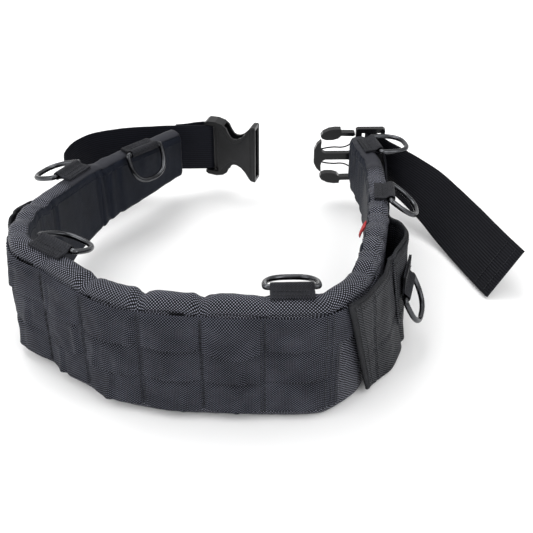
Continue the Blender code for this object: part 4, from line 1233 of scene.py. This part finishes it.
def build_buckles():
    matrix = plan_frame(FEMALE_BAR - PLAN_ORIGIN, FEMALE_HEADING)
    body = dress_node("buckle_female", SATIN)
    soften(body, 0.0009)
    # raised panel and rim on the socket's faces
    parts = []
    for sign in (1, -1):
        panel = closed_spline(mirrored([(0.0135, 0.0235), (0.0200, 0.0215), (0.0250, 0.0160), (0.0290, 0.0128),
                                  (0.0330, 0.0118), (0.0380, 0.0130), (0.0430, 0.0175), (0.0480, 0.0250),
                                  (0.0520, 0.0295)]), 4)
        lift = matrix @ Matrix.Translation((0.0, 0.0, sign * 0.0070))
        parts.append(plate([panel], 0.0006, 0.0004, lift))
        rim = [(0.0548, -0.0335), (0.0584, -0.0342), (0.0584, 0.0342), (0.0548, 0.0335)]
        parts.append(plate([rim], 0.0008, 0.0005, lift))
    parts.append(plate([rectangle(0.0068, 0.0150, 0.0290)], 0.0024, 0.0008, matrix))
    join_meshes("buckle_female_relief", parts, SATIN, "buckle_female")

    matrix = plan_frame(MALE_BAR - PLAN_ORIGIN, MALE_HEADING)
    body = dress_node("buckle_male", GLOSS)
    soften(body, 0.0007)
    for name in ("buckle_arm_upper", "buckle_arm_lower"):
        soften(dress_node(name, GLOSS), 0.0009)
    parts = []
    for sign in (1, -1):
        guide = spline([(0.0545, sign * 0.0085, 0.0), (0.0480, sign * 0.0100, 0.0), (0.0400, sign * 0.0108, 0.0),
                        (0.0320, sign * 0.0105, 0.0), (0.0250, sign * 0.0125, 0.0), (0.0165, sign * 0.0190, 0.0)], 8)
        m = np.array(matrix)
        path = guide @ m[:3, :3].T + m[:3, 3]
        parts.append(tube(path, 0.0009, 8, up=tuple(m[:3, 2])))
        rib = np.array([(0.0200, sign * 0.0028, 0.0031), (0.0520, sign * 0.0028, 0.0031)])
        parts.append(tube(resample(rib, 0.004)[0] @ m[:3, :3].T + m[:3, 3], 0.0006, 8, up=tuple(m[:3, 2])))
    join_meshes("buckle_male_guides", parts, GLOSS, "buckle_male")


# ---------------------------------------------------------------- label, seams and threads
def build_label():
    """Plain red tab, folded at its free edge, caught in the pad's inner seam."""
    station, length, reach = 0.752, 0.0115, 0.0120
    z0 = float(pad_high(station)) - 0.0075
    u = np.linspace(-0.5, 0.5, 14)
    w = np.linspace(0, 1, 10)
    points = np.zeros((14, 20, 3))
    inner = PAD_FACE - 0.0006
    for i, a in enumerate(u):
        s = station + a * length
        for j in range(20):
            k = w[j] if j < 10 else w[19 - j]
            face = 0.0005 if j < 10 else -0.0005
            out = 0.0056 * math.sin(1.25 * k) + 0.0005 * math.cos(a * 5) * k
            p = at_offset(np.array(s), np.array(-inner - out - face * 0.8))
            points[i, j] = (*p, z0 - reach * k ** 1.15 + face * (1 - k))
    uvs = sheet_coordinates(u * length, np.linspace(0, 2 * reach, 20))
    obj = grid_object("label_tab_fabric", points, uvs, RED, "pad", 0.0004)
    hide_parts("label_tab")


def finish_stitches():
    for body, parts in sorted(STITCHES.items()):
        join_meshes(f"stitching_{body}", parts, THREAD, body)


def main():
    studio()
    hidden = ["outer_cover"] + [f"foam_panel_{i:02d}" for i in range(1, 13)]
    cover, cover_n, s = pad_skin("pad_cover", hidden, 1, BALLISTIC)
    liner, liner_n, s = pad_skin("pad_liner", ["inner_liner"], -1, LINER)
    end_caps(cover, liner)
    for start, stop in ((0.665, 0.705), (0.730, 0.795), (0.842, 0.905)):
        picks = np.where((s > start) & (s < stop))[0]
        sew(cover, cover_n, np.s_[picks, 8], 0.0007)
    seam = cover[6:-6, 1] + cover_n[6:-6, 1] * 0.0006
    stitch("pad", seam, cover_n[6:-6, 1], 0.0026, 0.0014)
    lower_end = ROW_START + 2 * ROW_EDGE + CELLS * STITCH_PITCH
    for index, (name, end) in enumerate((("tool_loop_row_upper", UPPER_ROW_END), ("tool_loop_row_middle", lower_end),
                                         ("tool_loop_row_lower", lower_end))):
        row_sheet(index, name, end)
    build_right_sleeve()
    build_left_sleeve()
    build_straps()
    build_rings()
    build_buckles()
    build_label()
    finish_stitches()


main()
